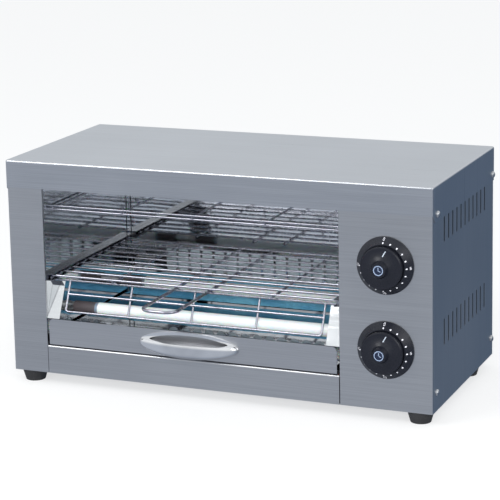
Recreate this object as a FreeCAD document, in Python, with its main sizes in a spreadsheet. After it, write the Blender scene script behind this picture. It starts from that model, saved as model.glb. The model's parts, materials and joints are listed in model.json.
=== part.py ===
# Countertop bar toaster with one wire rack, two 15-minute timers and a crumb tray.
#
# Frame: +X to the right and +Y to the back as the user stands before it, +Z up, millimetres.
# The origin is on the worktop, under the middle of the whole object's box.
# Lengths along Y are counted from the front of the lid's lip, and lengths along Z from the worktop.

import FreeCAD, Part
import math
import os
import Sketcher

os.makedirs("parts", exist_ok=True)
doc = FreeCAD.newDocument("toaster")
sheet = doc.addObject("Spreadsheet::Sheet", "dims")

SIZES = [
    # Casing
    ("cover_wide", 450.0, "width of the lid"),
    ("cover_deep", 211.0, "depth of the lid"),
    ("body_high", 220.0, "height of the casing without its feet"),
    ("cover_wall", 0.8, "sheet of the lid"),
    ("cover_bend", 2.0, "outside bend radius of the lid"),
    ("lip_high", 28.0, "height of the lid's front lip"),
    ("skirt_high", 35.0, "height of the lid's side and back skirts"),
    ("side_gap", 0.1, "gap between skirt and side panel"),
    ("front_gap", 0.5, "gap between lip and front panels, and between back skirt and back panel"),
    ("panel_wall", 1.0, "sheet of the side and back panels"),
    ("front_wall", 1.2, "sheet of the post, control panel and base pan"),
    ("front_bend", 0.9, "outside bend radius of the front panels"),
    ("seat_gap", 0.1, "clearance between pieces that sit against each other"),
    ("post_wide", 38.8, "width of the left front post"),
    ("control_wide", 93.3, "width of the control panel"),
    ("edge_return", 3.0, "depth of the folds beside the opening"),
    ("screw_return", 18.5, "depth of the folds that take the side screws"),
    ("strip_high", 29.3, "height of the front strip below the tray"),
    ("strip_fold", 12.0, "depth of the fold on top of the front strip"),
    ("strip_bend", 2.0, "outside bend radius on top of the front strip"),
    ("seam", 0.5, "open seam at each end of the front strip"),
    ("pan_flange", 26.0, "height of the pan's side flanges"),
    ("flange_room", 1.0, "room between the front panels' folds and those flanges"),
    ("rear_fold", 16.0, "width of the side panels' rear folds"),
    # Vents
    ("vent_pitch", 13.9, "step from slot to slot"),
    ("vent_first", 38.5, "middle of the side panels' first slots"),
    ("vent_wide", 3.0, "width of a slot"),
    ("vent_high", 26.0, "height of a slot"),
    ("vent_count", 11.0, "slots in a row"),
    ("vent_low", 58.5, "bottom of the lower row above the pan"),
    ("vent_top", 160.0, "bottom of the upper row above the pan"),
    ("back_vent_low", 122.0, "bottom of the back panel's lower row above the pan"),
    ("liner_pitch", 14.3, "step from slot to slot in the liner's back wall"),
    ("liner_slot_wide", 11.9, "width of a slot in the liner's back wall"),
    ("liner_slot_low", 63.0, "bottom of the liner's slots above the pan"),
    ("liner_slot_high", 28.0, "height of a slot in the liner's back wall"),
    ("liner_slot_count", 16.0, "slots in the liner's back wall"),
    # Toasting chamber
    ("liner_wall", 0.8, "sheet of the liner"),
    ("liner_deep", 196.5, "front of the liner's back wall"),
    ("liner_high", 206.0, "underside of the ceiling above the pan"),
    ("liner_flange", 4.2, "depth of the back wall's side flanges"),
    ("liner_slit", 2.4, "open slit between those flanges and the side walls"),
    ("film_low", 33.0, "bottom of the low rear reflector above the pan"),
    ("film_high", 27.0, "height of the low rear reflector"),
    ("rail_wall", 0.8, "sheet of the runners"),
    ("rack_level", 100.6, "axis of the rack's long wires above the pan"),
    ("rack_front", 11.5, "axis of the rack's front wire"),
    ("rack_pitch", 18.2, "step from long wire to long wire"),
    ("rack_wires", 10.0, "number of long wires"),
    ("rack_wire_r", 1.25, "radius of the rack's wires"),
    ("weld_sink", 0.3, "depth to which crossing wires melt into each other"),
    ("rack_play", 1.75, "room between the rack and each side wall"),
    ("cross_step", 86.0, "from the chamber's middle to the two cross wires"),
    ("runner_wide", 6.5, "width of the rack runners' flanges"),
    ("runner_front", 5.0, "front end of the rack runners"),
    ("runner_rear_room", 4.0, "room behind the rack runners"),
    ("runner_play", 0.15, "room under the rack in its runners"),
    ("runner_room", 0.8, "room above the rack in its runners"),
    ("handle_r", 1.6, "radius of the handle's wire"),
    ("handle_reach", 71.0, "from the lip to the axis of the handle's front bar"),
    ("handle_bend", 12.0, "bend radius of the handle at its axis"),
    ("handle_half", 18.0, "from the chamber's middle to the handle's legs"),
    # Guards
    ("guard_wire_r", 1.1, "radius of the lower guard's wires"),
    ("guard_tilt", 24.5, "lean of the lower guard from upright, degrees"),
    ("guard_low_y", 5.8, "axis of the lower guard's bottom wire"),
    ("guard_low_z", 65.4, "axis of the lower guard's bottom wire above the pan"),
    ("guard_rise", 32.0, "from bottom wire to top wire along the lean"),
    ("guard_middle", 17.9, "from bottom wire to middle wire along the lean"),
    ("guard_bend", 3.0, "bend radius of the guard's lower corners"),
    ("guard_side_room", 19.75, "from the side walls to the guard's end wires"),
    ("cheek_wide", 14.0, "width of the plates beside the lower guard"),
    ("cheek_drop", 8.5, "from the guard's bottom wire down to the foot of those plates"),
    ("cheek_fold", 11.0, "depth of those plates' folds along the side walls"),
    ("upper_guard_z", 170.0, "axis of the upper guard's rods above the pan"),
    ("upper_guard_y", 17.7, "axis of the upper guard's front wires"),
    ("upper_guard_rear", 180.0, "axis of the upper guard's rear wires"),
    ("upper_guard_r", 1.05, "radius of the upper guard's wires"),
    ("upper_guard_side_room", 4.0, "from the side walls to the upper guard's end rods"),
    # Heating tubes
    ("tube_r", 6.5, "radius of a quartz tube"),
    ("tube_bore_r", 5.0, "radius of a quartz tube's bore"),
    ("tube_front", 41.5, "axis of the front tubes"),
    ("tube_rear", 155.0, "axis of the rear tubes"),
    ("tube_low", 60.5, "axis of the lower tubes above the pan"),
    ("tube_high", 190.0, "axis of the upper tubes above the pan"),
    ("coil_r", 3.2, "outside radius of a heating coil"),
    ("coil_bore_r", 2.6, "inside radius of a heating coil"),
    ("cap_r", 6.2, "radius of a ceramic end"),
    ("cap_long", 24.5, "length of a left ceramic end outside its tube"),
    ("cap_short", 15.0, "length of a right ceramic end outside its tube"),
    ("plug_long", 8.0, "length of a ceramic end inside its tube"),
    ("tube_fit", 0.15, "radial room inside a tube"),
    ("sleeve_r", 5.2, "radius of the sleeve between ceramic end and side wall"),
    ("sleeve_long", 12.4, "length of a left sleeve"),
    ("sleeve_short", 5.3, "length of a right sleeve"),
    ("stud_r", 2.0, "radius of a terminal stud"),
    ("stud_sink", 12.0, "length of stud held in the ceramic end"),
    ("stud_out", 9.0, "length of stud behind the side wall"),
    ("nut_r", 3.6, "radius of a terminal nut"),
    ("nut_high", 3.2, "height of a terminal nut"),
    ("hole_play", 0.15, "radial room of screws and studs in their holes"),
    # Crumb tray
    ("tray_wall", 0.8, "sheet of the tray"),
    ("tray_gap", 2.6, "gap at each side of the tray"),
    ("tray_rise", 1.2, "gap between front strip and tray"),
    ("tray_deep", 195.3, "rear end of the tray"),
    ("tray_lip", 9.0, "height of the tray's side rims"),
    ("tray_rear_lip", 2.0, "height of the tray's rear rim"),
    ("tray_front_high", 26.8, "height of the tray's front"),
    ("tray_corner", 5.0, "radius of the front's upper corners"),
    ("tray_ledge", 9.0, "width of the tray runners' ledges"),
    ("tray_play", 0.3, "room under the tray on its runners"),
    ("pull_half", 54.0, "half the width of the tray's pull"),
    ("pull_half_high", 13.4, "half the height of the tray's pull"),
    ("pull_reach", 16.0, "how far the pull stands out"),
    ("pull_wall", 1.4, "wall of the pull"),
    ("pull_rim", 7.5, "width of the pull's rim at its tips"),
    ("pull_rim_high", 3.2, "width of the pull's rim at its top"),
    ("pull_mouth", 4.2, "height of the pull's lip above its middle"),
    ("pull_screw_in", 10.0, "from the pull's tips to its screws"),
    ("pull_hole", 0.85, "depth of the screw holes in the pull"),
    ("pull_tab_wide", 8.0, "width of the pull's screw tabs"),
    ("pull_tab_high", 11.0, "height of the pull's screw tabs"),
    # Timers
    ("knob_side", 47.2, "from the casing's right side to the knobs' axes"),
    ("knob_top", 142.0, "axis of the upper knob above the pan"),
    ("knob_low", 59.5, "axis of the lower knob above the pan"),
    ("dial_r", 28.2, "radius of a dial"),
    ("dial_high", 8.6, "height of a dial's inner edge above the panel"),
    ("dial_edge", 1.2, "height of a dial's outer edge above the panel"),
    ("dial_floor", 3.2, "thickness of a dial's floor"),
    ("dial_land", 0.9, "width of a dial's inner edge"),
    ("knob_r", 20.6, "radius of a knob"),
    ("knob_gap", 0.6, "room between knob and dial"),
    ("knob_rim_high", 14.0, "height of a knob's rim above the panel"),
    ("knob_high", 21.5, "height of a knob's hub above the panel"),
    ("hub_r", 6.8, "radius of a knob's hub"),
    ("hub_foot_r", 8.6, "radius at the foot of a knob's hub"),
    ("dish_arc", 16.0, "radius of the hollow curve from rim to hub"),
    ("cap_disc_r", 5.2, "radius of a knob's cap"),
    ("cap_disc_high", 1.0, "thickness of a knob's cap"),
    ("shaft_r", 3.0, "radius of a timer's shaft"),
    ("shaft_flat", 2.2, "from a shaft's axis to its flat"),
    ("shaft_play", 0.05, "radial room around a timer's shaft"),
    ("shaft_sink", 12.0, "length of shaft inside a timer"),
    ("panel_hole_r", 5.0, "radius of the shaft holes in panel and dial"),
    ("timer_wide", 46.0, "width and height of a timer"),
    ("timer_deep", 32.0, "depth of a timer"),
    ("timer_plate", 1.6, "thickness of a timer's mounting plate"),
    ("timer_plate_wide", 52.0, "width of a timer's mounting plate"),
    ("timer_screw_step", 13.0, "from a knob's axis to its timer's screws"),
    ("timer_screw_r", 1.5, "radius of those screws"),
    ("timer_screw_hole", 6.5, "depth of the screw holes in a timer"),
    ("timer_head_r", 2.8, "radius of those screws' heads"),
    ("timer_head_high", 1.2, "height of those screws' heads"),
    ("tab_wide", 6.3, "width of a timer's terminal tab"),
    # Feet, screws and inlet
    ("feet_high", 12.0, "height of a foot"),
    ("foot_top_r", 13.5, "radius of a foot at its top"),
    ("foot_low_r", 10.0, "radius of a foot at the worktop"),
    ("foot_side", 17.0, "from the lid's side to a foot's axis"),
    ("foot_front", 15.0, "axis of the front feet"),
    ("foot_rear", 172.0, "axis of the rear feet"),
    ("foot_recess_r", 5.5, "radius of the screw's recess in a foot"),
    ("foot_recess", 5.0, "depth of that recess"),
    ("foot_screw_r", 2.0, "radius of a foot's screw"),
    ("foot_head_r", 4.0, "radius of its head"),
    ("foot_head", 2.6, "height of its head"),
    ("screw_r", 1.6, "radius of a casing screw"),
    ("screw_head_r", 3.5, "radius of a casing screw's head"),
    ("screw_head", 2.3, "height of a casing screw's head"),
    ("screw_long", 9.0, "length of a casing screw below its head"),
    ("screw_front", 15.0, "axis of the front side screws"),
    ("screw_rear", 6.0, "from the lid's back to the rear side screws"),
    ("screw_high", 191.5, "upper side screws above the pan"),
    ("screw_low", 17.8, "lower side screws above the pan"),
    ("back_screw_low", 34.0, "lowest back screws above the pan"),
    ("back_screw_middle", 105.0, "middle back screws above the pan"),
    ("back_screw_high", 173.0, "highest back screws above the pan"),
    ("inlet_side", 45.0, "from the lid's right side to the cable gland"),
    ("inlet_high", 42.0, "cable gland above the pan"),
    ("gland_thread_r", 8.0, "radius of the gland's thread"),
    ("gland_bore_r", 4.4, "radius of the gland's bore"),
    ("gland_flange_r", 12.0, "radius of the gland's flange"),
    ("gland_flange", 3.0, "thickness of the gland's flange"),
    ("gland_taper", 2.0, "how much the gland's flange narrows to the middle of its reach"),
    ("gland_reach", 15.0, "how far the gland stands out of the back panel"),
    ("gland_tip_r", 8.2, "radius of the gland's tip"),
    ("gland_inside", 9.0, "length of thread behind the back panel"),
    ("gland_nut_r", 11.0, "radius of the gland's lock nut"),
    ("gland_nut", 4.5, "thickness of the gland's lock nut"),
    ("block_wide", 52.0, "length of the terminal block"),
    ("block_deep", 20.0, "depth of the terminal block"),
    ("block_high", 17.0, "height of the terminal block"),
    ("block_pitch", 12.0, "step between its ways"),
]


class Size:
    """A length that keeps its number together with the sheet formula that it comes from."""

    def __init__(self, text, number):
        self.text = text
        self.number = number

    def _join(self, sign, other, number):
        return Size(f"({self.text} {sign} {formula(other)})", number)

    def __add__(self, other):
        return self._join("+", other, self.number + value(other))

    def __radd__(self, other):
        return Size(f"({formula(other)} + {self.text})", value(other) + self.number)

    def __sub__(self, other):
        return self._join("-", other, self.number - value(other))

    def __rsub__(self, other):
        return Size(f"({formula(other)} - {self.text})", value(other) - self.number)

    def __mul__(self, other):
        return self._join("*", other, self.number * value(other))

    def __rmul__(self, other):
        return Size(f"({formula(other)} * {self.text})", value(other) * self.number)

    def __truediv__(self, other):
        return self._join("/", other, self.number / value(other))

    def __neg__(self):
        return Size(f"(0 - {self.text})", -self.number)


def value(size):
    return size.number if isinstance(size, Size) else float(size)


def formula(size):
    return size.text if isinstance(size, Size) else repr(float(size))


def bind(thing, path, size):
    """Ties one property of an object to the sheet."""
    if isinstance(size, Size):
        thing.setExpression(path, size.text)


class Sheet:
    """The sheet's values by name."""

    def __init__(self, table):
        for row, (name, number, note) in enumerate(table, start=1):
            sheet.set(f"A{row}", name)
            sheet.set(f"B{row}", str(number))
            sheet.set(f"C{row}", note)
            sheet.setAlias(f"B{row}", name)
            setattr(self, name, Size(f"dims.{name}", number))


d = Sheet(SIZES)
doc.recompute()

NODES = []


def keep(thing, label):
    """Names a finished piece and puts it on the list of nodes."""
    thing.Label = label
    NODES.append(thing)
    return thing


# Reference lines that several pieces share

half_wide = d.cover_wide / 2
pan = d.feet_high
top = pan + d.body_high
body_half = half_wide - d.cover_wall - d.side_gap
body_front = d.cover_wall + d.front_gap
body_back = d.cover_deep - d.cover_wall - d.front_gap
inside_front = body_front + d.front_wall
lid_under = top - d.cover_wall
panel_top = lid_under - d.seat_gap
open_left = d.post_wide - body_half
open_right = body_half - d.control_wide
middle = (open_left + open_right) / 2
half_open = (open_right - open_left) / 2
knob_x = half_wide - d.knob_side
inlet_x = half_wide - d.inlet_side
side_screw_rear = d.cover_deep - d.screw_rear
front_reach = d.handle_reach + d.handle_r
back_reach = body_back + d.gland_reach
shift = (front_reach - back_reach) / 2
pan_floor = pan + d.front_wall
strip_top = pan + d.strip_high
tray_bottom = strip_top + d.tray_rise
rack_z = pan + d.rack_level
cross_z = rack_z - d.rack_wire_r * 2 + d.weld_sink
rack_half = half_open - d.rack_play - d.rack_wire_r
tube_left = middle - half_open + d.sleeve_long + d.cap_long + d.seat_gap
tube_right = middle + half_open - d.sleeve_short - d.cap_short - d.seat_gap
guard_half = half_open - d.guard_side_room
upper_guard_half = half_open - d.upper_guard_side_room
pull_screw_step = d.pull_half - d.pull_screw_in
rack_wire_end = d.rack_front + d.rack_pitch * (d.rack_wires - 1) + d.rack_wire_r * 2


# Sketch helpers

def plane_of(body, role):
    return [item for item in body.Origin.OriginFeatures if item.Role == role][0]


def new_body(name, x=0.0, y=0.0, z=0.0):
    """A body whose own origin stands at x, y, z, with y counted from the lid's lip."""
    body = doc.addObject("PartDesign::Body", name)
    place(body, x, y, z)
    return body


def place(thing, x, y, z, turn=None):
    """Puts an object at x, y, z, with y counted from the lid's lip."""
    y = shift + y
    rotation = turn if turn else FreeCAD.Rotation()
    thing.Placement = FreeCAD.Placement(FreeCAD.Vector(value(x), value(y), value(z)), rotation)
    bind(thing, "Placement.Base.x", x)
    bind(thing, "Placement.Base.y", y)
    bind(thing, "Placement.Base.z", z)
    return thing


def new_sketch(body, name, role, offset=0.0):
    """A sketch on one of the body's own origin planes, moved along its normal by offset."""
    sketch = body.newObject("Sketcher::SketchObject", name)
    sketch.AttachmentSupport = [(plane_of(body, role), "")]
    sketch.MapMode = "FlatFace"
    sketch.AttachmentOffset = FreeCAD.Placement(FreeCAD.Vector(0, 0, value(offset)), FreeCAD.Rotation())
    bind(sketch, "AttachmentOffset.Base.z", offset)
    return sketch


def fix(sketch, kind, where, size):
    """Adds a constraint that takes its value from the sheet."""
    index = sketch.addConstraint(Sketcher.Constraint(kind, *where, value(size)))
    bind(sketch, f"Constraints[{index}]", size)


def arc_between(start, end, radius):
    """Arc from start to end that turns left for a positive radius and right for a negative one."""
    (ax, ay), (bx, by) = start, end
    chord = math.hypot(bx - ax, by - ay)
    rise = math.sqrt(max(radius * radius - chord * chord / 4, 0.0))
    side = 1 if radius > 0 else -1
    cx = (ax + bx) / 2 - side * rise * (by - ay) / chord
    cy = (ay + by) / 2 + side * rise * (bx - ax) / chord
    first, last = (start, end) if radius > 0 else (end, start)
    angles = [math.atan2(point[1] - cy, point[0] - cx) for point in (first, last)]
    circle = Part.Circle(FreeCAD.Vector(cx, cy, 0), FreeCAD.Vector(0, 0, 1), abs(radius))
    return Part.ArcOfCircle(circle, angles[0], angles[1])


def outline(sketch, points):
    """Closed outline through points (x, y) or (x, y, radius of the arc to the next point)."""
    count = len(points)
    spots = [(value(point[0]), value(point[1])) for point in points]
    first = sketch.GeometryCount
    ends = []
    for index, point in enumerate(points):
        start = spots[index]
        end = spots[(index + 1) % count]
        if len(point) == 3:
            sketch.addGeometry(arc_between(start, end, value(point[2])), False)
            ends.append((1, 2) if value(point[2]) > 0 else (2, 1))
        else:
            sketch.addGeometry(Part.LineSegment(FreeCAD.Vector(*start, 0), FreeCAD.Vector(*end, 0)), False)
            ends.append((1, 2))
    for index, point in enumerate(points):
        after = (index + 1) % count
        sketch.addConstraint(Sketcher.Constraint(
            "Coincident", first + index, ends[index][1], first + after, ends[after][0]))
        fix(sketch, "DistanceX", (first + index, ends[index][0]), point[0])
        fix(sketch, "DistanceY", (first + index, ends[index][0]), point[1])
        if len(point) == 3:
            radius = point[2] if value(point[2]) > 0 else -point[2]
            fix(sketch, "Radius", (first + index,), radius)


def rectangle(sketch, x0, y0, x1, y1):
    outline(sketch, [(x0, y0), (x1, y0), (x1, y1), (x0, y1)])


def hole(sketch, x, y, radius):
    """Circle at x, y."""
    circle = Part.Circle(FreeCAD.Vector(value(x), value(y), 0), FreeCAD.Vector(0, 0, 1), value(radius))
    index = sketch.addGeometry(circle, False)
    fix(sketch, "DistanceX", (index, 3), x)
    fix(sketch, "DistanceY", (index, 3), y)
    fix(sketch, "Radius", (index,), radius)


def slot(sketch, x, low, high, width):
    """Upright slot with round ends, its middle line at x."""
    radius = width / 2
    first = sketch.GeometryCount
    left, right = value(x - radius), value(x + radius)
    below, above = value(low + radius), value(high - radius)
    for start, end in (((left, above), (left, below)), ((right, below), (right, above))):
        sketch.addGeometry(Part.LineSegment(FreeCAD.Vector(*start, 0), FreeCAD.Vector(*end, 0)), False)
    for centre_y, turn in ((below, math.pi), (above, 0.0)):
        circle = Part.Circle(FreeCAD.Vector(value(x), centre_y, 0), FreeCAD.Vector(0, 0, 1), value(radius))
        sketch.addGeometry(Part.ArcOfCircle(circle, turn, turn + math.pi), False)
    for pair in ((0, 2, 2, 1), (2, 2, 1, 1), (1, 2, 3, 1), (3, 2, 0, 1)):
        sketch.addConstraint(Sketcher.Constraint(
            "Coincident", first + pair[0], pair[1], first + pair[2], pair[3]))
    for line, start, end in ((0, high - radius, low + radius), (1, low + radius, high - radius)):
        edge = x - radius if line == 0 else x + radius
        for point, height in ((1, start), (2, end)):
            fix(sketch, "DistanceX", (first + line, point), edge)
            fix(sketch, "DistanceY", (first + line, point), height)
    fix(sketch, "DistanceY", (first + 2, 3), low + radius)
    fix(sketch, "DistanceY", (first + 3, 3), high - radius)


def pad(body, sketch, name, length, reverse=False, midplane=False):
    feature = body.newObject("PartDesign::Pad", name)
    feature.Profile = sketch
    feature.Length = value(length)
    bind(feature, "Length", length)
    feature.Reversed = reverse
    feature.Midplane = midplane
    sketch.Visibility = False
    doc.recompute()
    return feature


def pocket(body, sketch, name, length, reverse=False, midplane=False):
    before = body.Shape.Volume
    feature = body.newObject("PartDesign::Pocket", name)
    feature.Profile = sketch
    feature.Length = value(length)
    bind(feature, "Length", length)
    feature.Reversed = reverse
    feature.Midplane = midplane
    doc.recompute()
    if body.Shape.Volume > before - 0.001:
        raise ValueError(f"{name} cuts nothing")
    return feature


def spin(body, sketch, name, role):
    """Turns a sketch a full circle about one of the body's own axes."""
    feature = body.newObject("PartDesign::Revolution", name)
    feature.Profile = sketch
    feature.ReferenceAxis = (plane_of(body, role), [""])
    feature.Angle = 360.0
    doc.recompute()
    return feature


def repeat(body, feature, name, role, span, count):
    """Row of copies of a feature along one of the body's own axes."""
    row = body.newObject("PartDesign::LinearPattern", name)
    row.Originals = [feature]
    row.Direction = (plane_of(body, role), [""])
    row.Length = value(span)
    bind(row, "Length", span)
    row.Occurrences = int(value(count))
    bind(row, "Occurrences", count)
    body.Tip = row
    doc.recompute()
    return row


def soften(body, name, radius, wanted):
    """Rounds the body's straight edges for which wanted(middle, direction) is true."""
    base = body.Tip
    names = []
    for index, edge in enumerate(base.Shape.Edges, start=1):
        if edge.Curve.TypeId != "Part::GeomLine":
            continue
        direction = edge.tangentAt(edge.FirstParameter)
        middle_point = edge.CenterOfMass
        if wanted(middle_point, direction):
            names.append(f"Edge{index}")
    if not names:
        raise ValueError(f"{name} finds no edge")
    feature = body.newObject("PartDesign::Fillet", name)
    feature.Base = (base, names)
    feature.Radius = value(radius)
    bind(feature, "Radius", radius)
    doc.recompute()
    return feature


def near(number, size, room=0.01):
    """True where a number is the size, to the given room."""
    return abs(number - value(size)) < room


# Primitive helpers

def block(name, x, y, z, wide, deep, high, turned_frame=False):
    """Box from its low corner. In a turned frame its place is counted in that frame alone."""
    box = doc.addObject("Part::Box", name)
    for side, size in (("Length", wide), ("Width", deep), ("Height", high)):
        setattr(box, side, value(size))
        bind(box, side, size)
    return place(box, x, y - shift if turned_frame else y, z)


def rod(name, axis, x, y, z, radius, length, turned_frame=False):
    """Round bar that starts at x, y, z and runs along the named axis."""
    turns = {"x": FreeCAD.Rotation(FreeCAD.Vector(0, 1, 0), 90),
             "-x": FreeCAD.Rotation(FreeCAD.Vector(0, 1, 0), -90),
             "y": FreeCAD.Rotation(FreeCAD.Vector(1, 0, 0), -90),
             "-y": FreeCAD.Rotation(FreeCAD.Vector(1, 0, 0), 90),
             "z": FreeCAD.Rotation()}
    bar = doc.addObject("Part::Cylinder", name)
    bar.Radius = value(radius)
    bind(bar, "Radius", radius)
    bar.Height = value(length)
    bind(bar, "Height", length)
    return place(bar, x, y - shift if turned_frame else y, z, turns[axis])


def bend(name, x, y, z, ring, radius, angle, turn, turned_frame=False):
    """Part of a ring about x, y, z, of the given angle, turned from the XY plane by turn."""
    piece = doc.addObject("Part::Torus", name)
    piece.Radius1 = value(ring)
    bind(piece, "Radius1", ring)
    piece.Radius2 = value(radius)
    bind(piece, "Radius2", radius)
    piece.Angle3 = angle
    return place(piece, x, y - shift if turned_frame else y, z, turn)


def fuse(name, pieces):
    whole = doc.addObject("Part::MultiFuse", name)
    whole.Shapes = pieces
    whole.Refine = True
    return whole


def cut(name, base, tool):
    left = doc.addObject("Part::Cut", name)
    left.Base = base
    left.Tool = tool
    return left


def group(name, pieces):
    """Several separate solids under one name."""
    bundle = doc.addObject("Part::Compound", name)
    bundle.Links = pieces
    return keep(bundle, name)


def lean(thing, y, z, degrees):
    """Leans a piece back about the line along X through y, z."""
    place(thing, 0.0, y, z, FreeCAD.Rotation(FreeCAD.Vector(-1, 0, 0), value(degrees)))
    thing.setExpression("Placement.Rotation.Angle", f"{formula(degrees)} * 1deg")
    return thing


# Casing

def make_base_pan():
    """Floor with side flanges, and the front strip that carries the crumb tray."""
    body = new_body("base_pan")
    floor_half = body_half - d.panel_wall - d.seat_gap
    floor_rear = body_back - (d.panel_wall + d.seat_gap) * 2
    floor = new_sketch(body, "pan_floor", "XY_Plane", pan)
    rectangle(floor, -floor_half, inside_front + d.seat_gap, floor_half, floor_rear)
    pad(body, floor, "pan_floor_pad", d.front_wall)

    flanges = new_sketch(body, "pan_flanges", "XY_Plane", pan)
    flange_front = body_front + d.screw_return + d.flange_room
    rectangle(flanges, -floor_half, flange_front, d.front_wall - floor_half, floor_rear)
    rectangle(flanges, floor_half - d.front_wall, flange_front, floor_half, floor_rear)
    pad(body, flanges, "pan_flanges_pad", d.pan_flange)

    hook = new_sketch(body, "pan_strip", "YZ_Plane", open_left + d.seam)
    fold_rear = body_front + d.strip_fold
    outline(hook, [(body_front, pan), (fold_rear, pan), (fold_rear, pan_floor),
                   (inside_front, pan_floor), (inside_front, strip_top - d.front_wall),
                   (fold_rear, strip_top - d.front_wall), (fold_rear, strip_top),
                   (body_front, strip_top)])
    pad(body, hook, "pan_strip_pad", open_right - open_left - d.seam * 2)
    soften(body, "pan_strip_bend", d.strip_bend,
           lambda spot, way: near(abs(way.x), 1) and near(spot.y, body_front) and near(spot.z, strip_top))

    feet = new_sketch(body, "pan_foot_holes", "XY_Plane", pan_floor)
    for x, y in FOOT_SPOTS:
        hole(feet, x, y, d.foot_screw_r + d.hole_play)
    pocket(body, feet, "pan_foot_holes_cut", d.front_wall)

    side = new_sketch(body, "pan_screw_holes", "YZ_Plane")
    hole(side, side_screw_rear, pan + d.screw_low, d.screw_r + d.hole_play)
    pocket(body, side, "pan_screw_holes_cut", d.cover_wide, midplane=True)
    return keep(body, "base_pan")


def make_front_panel(name, left, right, screw_side):
    """Folded upright panel whose left (screw_side -1) or right (1) fold takes the side screws."""
    body = new_body(name)
    fold_end = body_front + d.edge_return
    screw_end = body_front + d.screw_return
    inset = d.panel_wall + d.seat_gap
    face = new_sketch(body, f"{name}_face", "XY_Plane", pan)
    rectangle(face, left, body_front, right, inside_front)
    pad(body, face, f"{name}_face_pad", panel_top - pan)
    folds = new_sketch(body, f"{name}_folds", "XY_Plane", pan_floor + d.seat_gap)
    if screw_side < 0:
        rectangle(folds, right - d.front_wall, inside_front, right, fold_end)
        rectangle(folds, left + inset, inside_front, left + inset + d.front_wall, screw_end)
    else:
        rectangle(folds, left, inside_front, left + d.front_wall, fold_end)
        rectangle(folds, right - inset - d.front_wall, inside_front, right - inset, screw_end)
    pad(body, folds, f"{name}_folds_pad", panel_top - pan_floor - d.seat_gap)
    soften(body, f"{name}_bend", d.front_bend,
           lambda spot, way: near(abs(way.z), 1) and near(spot.y, body_front))
    fold = left + inset if screw_side < 0 else right - inset
    screws = new_sketch(body, f"{name}_screw_holes", "YZ_Plane", fold)
    for z in (d.screw_low, d.screw_high):
        hole(screws, d.screw_front, pan + z, d.screw_r + d.hole_play)
    pocket(body, screws, f"{name}_screw_holes_cut", d.front_wall * 3, midplane=True)
    return body


def make_left_post():
    return keep(make_front_panel("left_post", -body_half, open_left, -1), "left_post")


def make_control_panel():
    body = make_front_panel("control_panel", open_right, body_half, 1)
    holes = new_sketch(body, "control_holes", "XZ_Plane", -inside_front)
    for z in (d.knob_top, d.knob_low):
        hole(holes, knob_x, pan + z, d.panel_hole_r)
        for step in (-d.timer_screw_step, d.timer_screw_step):
            hole(holes, knob_x + step, pan + z, d.timer_screw_r + d.hole_play)
    pocket(body, holes, "control_holes_cut", d.front_wall * 3, midplane=True)
    return keep(body, "control_panel")


def make_top_cover():
    """Box lid: a top sheet with a short front lip and deeper skirts at the sides and back."""
    body = new_body("top_cover")
    skirt_low = top - d.skirt_high
    plan = new_sketch(body, "cover_plan", "XY_Plane", skirt_low)
    rectangle(plan, -half_wide, 0.0, half_wide, d.cover_deep)
    pad(body, plan, "cover_block", d.skirt_high)
    soften(body, "cover_bends", d.cover_bend,
           lambda spot, way: near(abs(way.z), 1) or near(spot.z, top))
    room = new_sketch(body, "cover_room", "XY_Plane", skirt_low)
    rectangle(room, d.cover_wall - half_wide, d.cover_wall, half_wide - d.cover_wall,
              d.cover_deep - d.cover_wall)
    pocket(body, room, "cover_hollow", d.skirt_high - d.cover_wall, reverse=True)
    lip = new_sketch(body, "cover_lip", "YZ_Plane")
    lip_low = top - d.lip_high
    corner = d.skirt_high - d.lip_high
    outline(lip, [(-corner, skirt_low - corner), (corner, skirt_low - corner), (corner, skirt_low),
                  (d.cover_wall, lip_low), (-corner, lip_low)])
    pocket(body, lip, "cover_lip_cut", d.cover_wide * 2, midplane=True)
    screws = new_sketch(body, "cover_screw_holes", "YZ_Plane")
    for y in (d.screw_front, side_screw_rear):
        hole(screws, y, pan + d.screw_high, d.screw_r + d.hole_play)
    pocket(body, screws, "cover_screw_holes_cut", d.cover_wide * 2, midplane=True)
    return keep(body, "top_cover")


def make_side_panel(name, side):
    """Side wall with two rows of upright slots and a rear fold. side is -1 or 1."""
    body = new_body(name)
    outer = body_half * side
    inner = (body_half - d.panel_wall) * side
    fold = (body_half - d.rear_fold) * side
    front = inside_front + d.seat_gap
    rear = body_back - d.panel_wall - d.seat_gap
    plan = new_sketch(body, f"{name}_plan", "XY_Plane", pan)
    outline(plan, [(outer, front), (outer, rear), (fold, rear), (fold, rear - d.panel_wall),
                   (inner, rear - d.panel_wall), (inner, front)])
    pad(body, plan, f"{name}_pad", panel_top - pan)
    screws = new_sketch(body, f"{name}_screw_holes", "YZ_Plane")
    for y in (d.screw_front, side_screw_rear):
        for z in (d.screw_low, d.screw_high):
            hole(screws, y, pan + z, d.screw_r + d.hole_play)
    pocket(body, screws, f"{name}_screw_holes_cut", d.cover_wide, midplane=True)
    back = new_sketch(body, f"{name}_back_holes", "XZ_Plane", -rear)
    for z in BACK_SCREW_HEIGHTS:
        hole(back, back_screw_x * side, z, d.screw_r + d.hole_play)
    pocket(body, back, f"{name}_back_holes_cut", d.panel_wall * 3, midplane=True)
    vents = new_sketch(body, f"{name}_vents", "YZ_Plane")
    span = d.vent_pitch * (d.vent_count - 1)
    for low in (d.vent_low, d.vent_top):
        slot(vents, d.vent_first, pan + low, pan + low + d.vent_high, d.vent_wide)
    cut_vents = pocket(body, vents, f"{name}_vents_cut", d.cover_wide, midplane=True)
    repeat(body, cut_vents, f"{name}_vent_row", "Y_Axis", span, d.vent_count)
    return keep(body, name)


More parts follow.
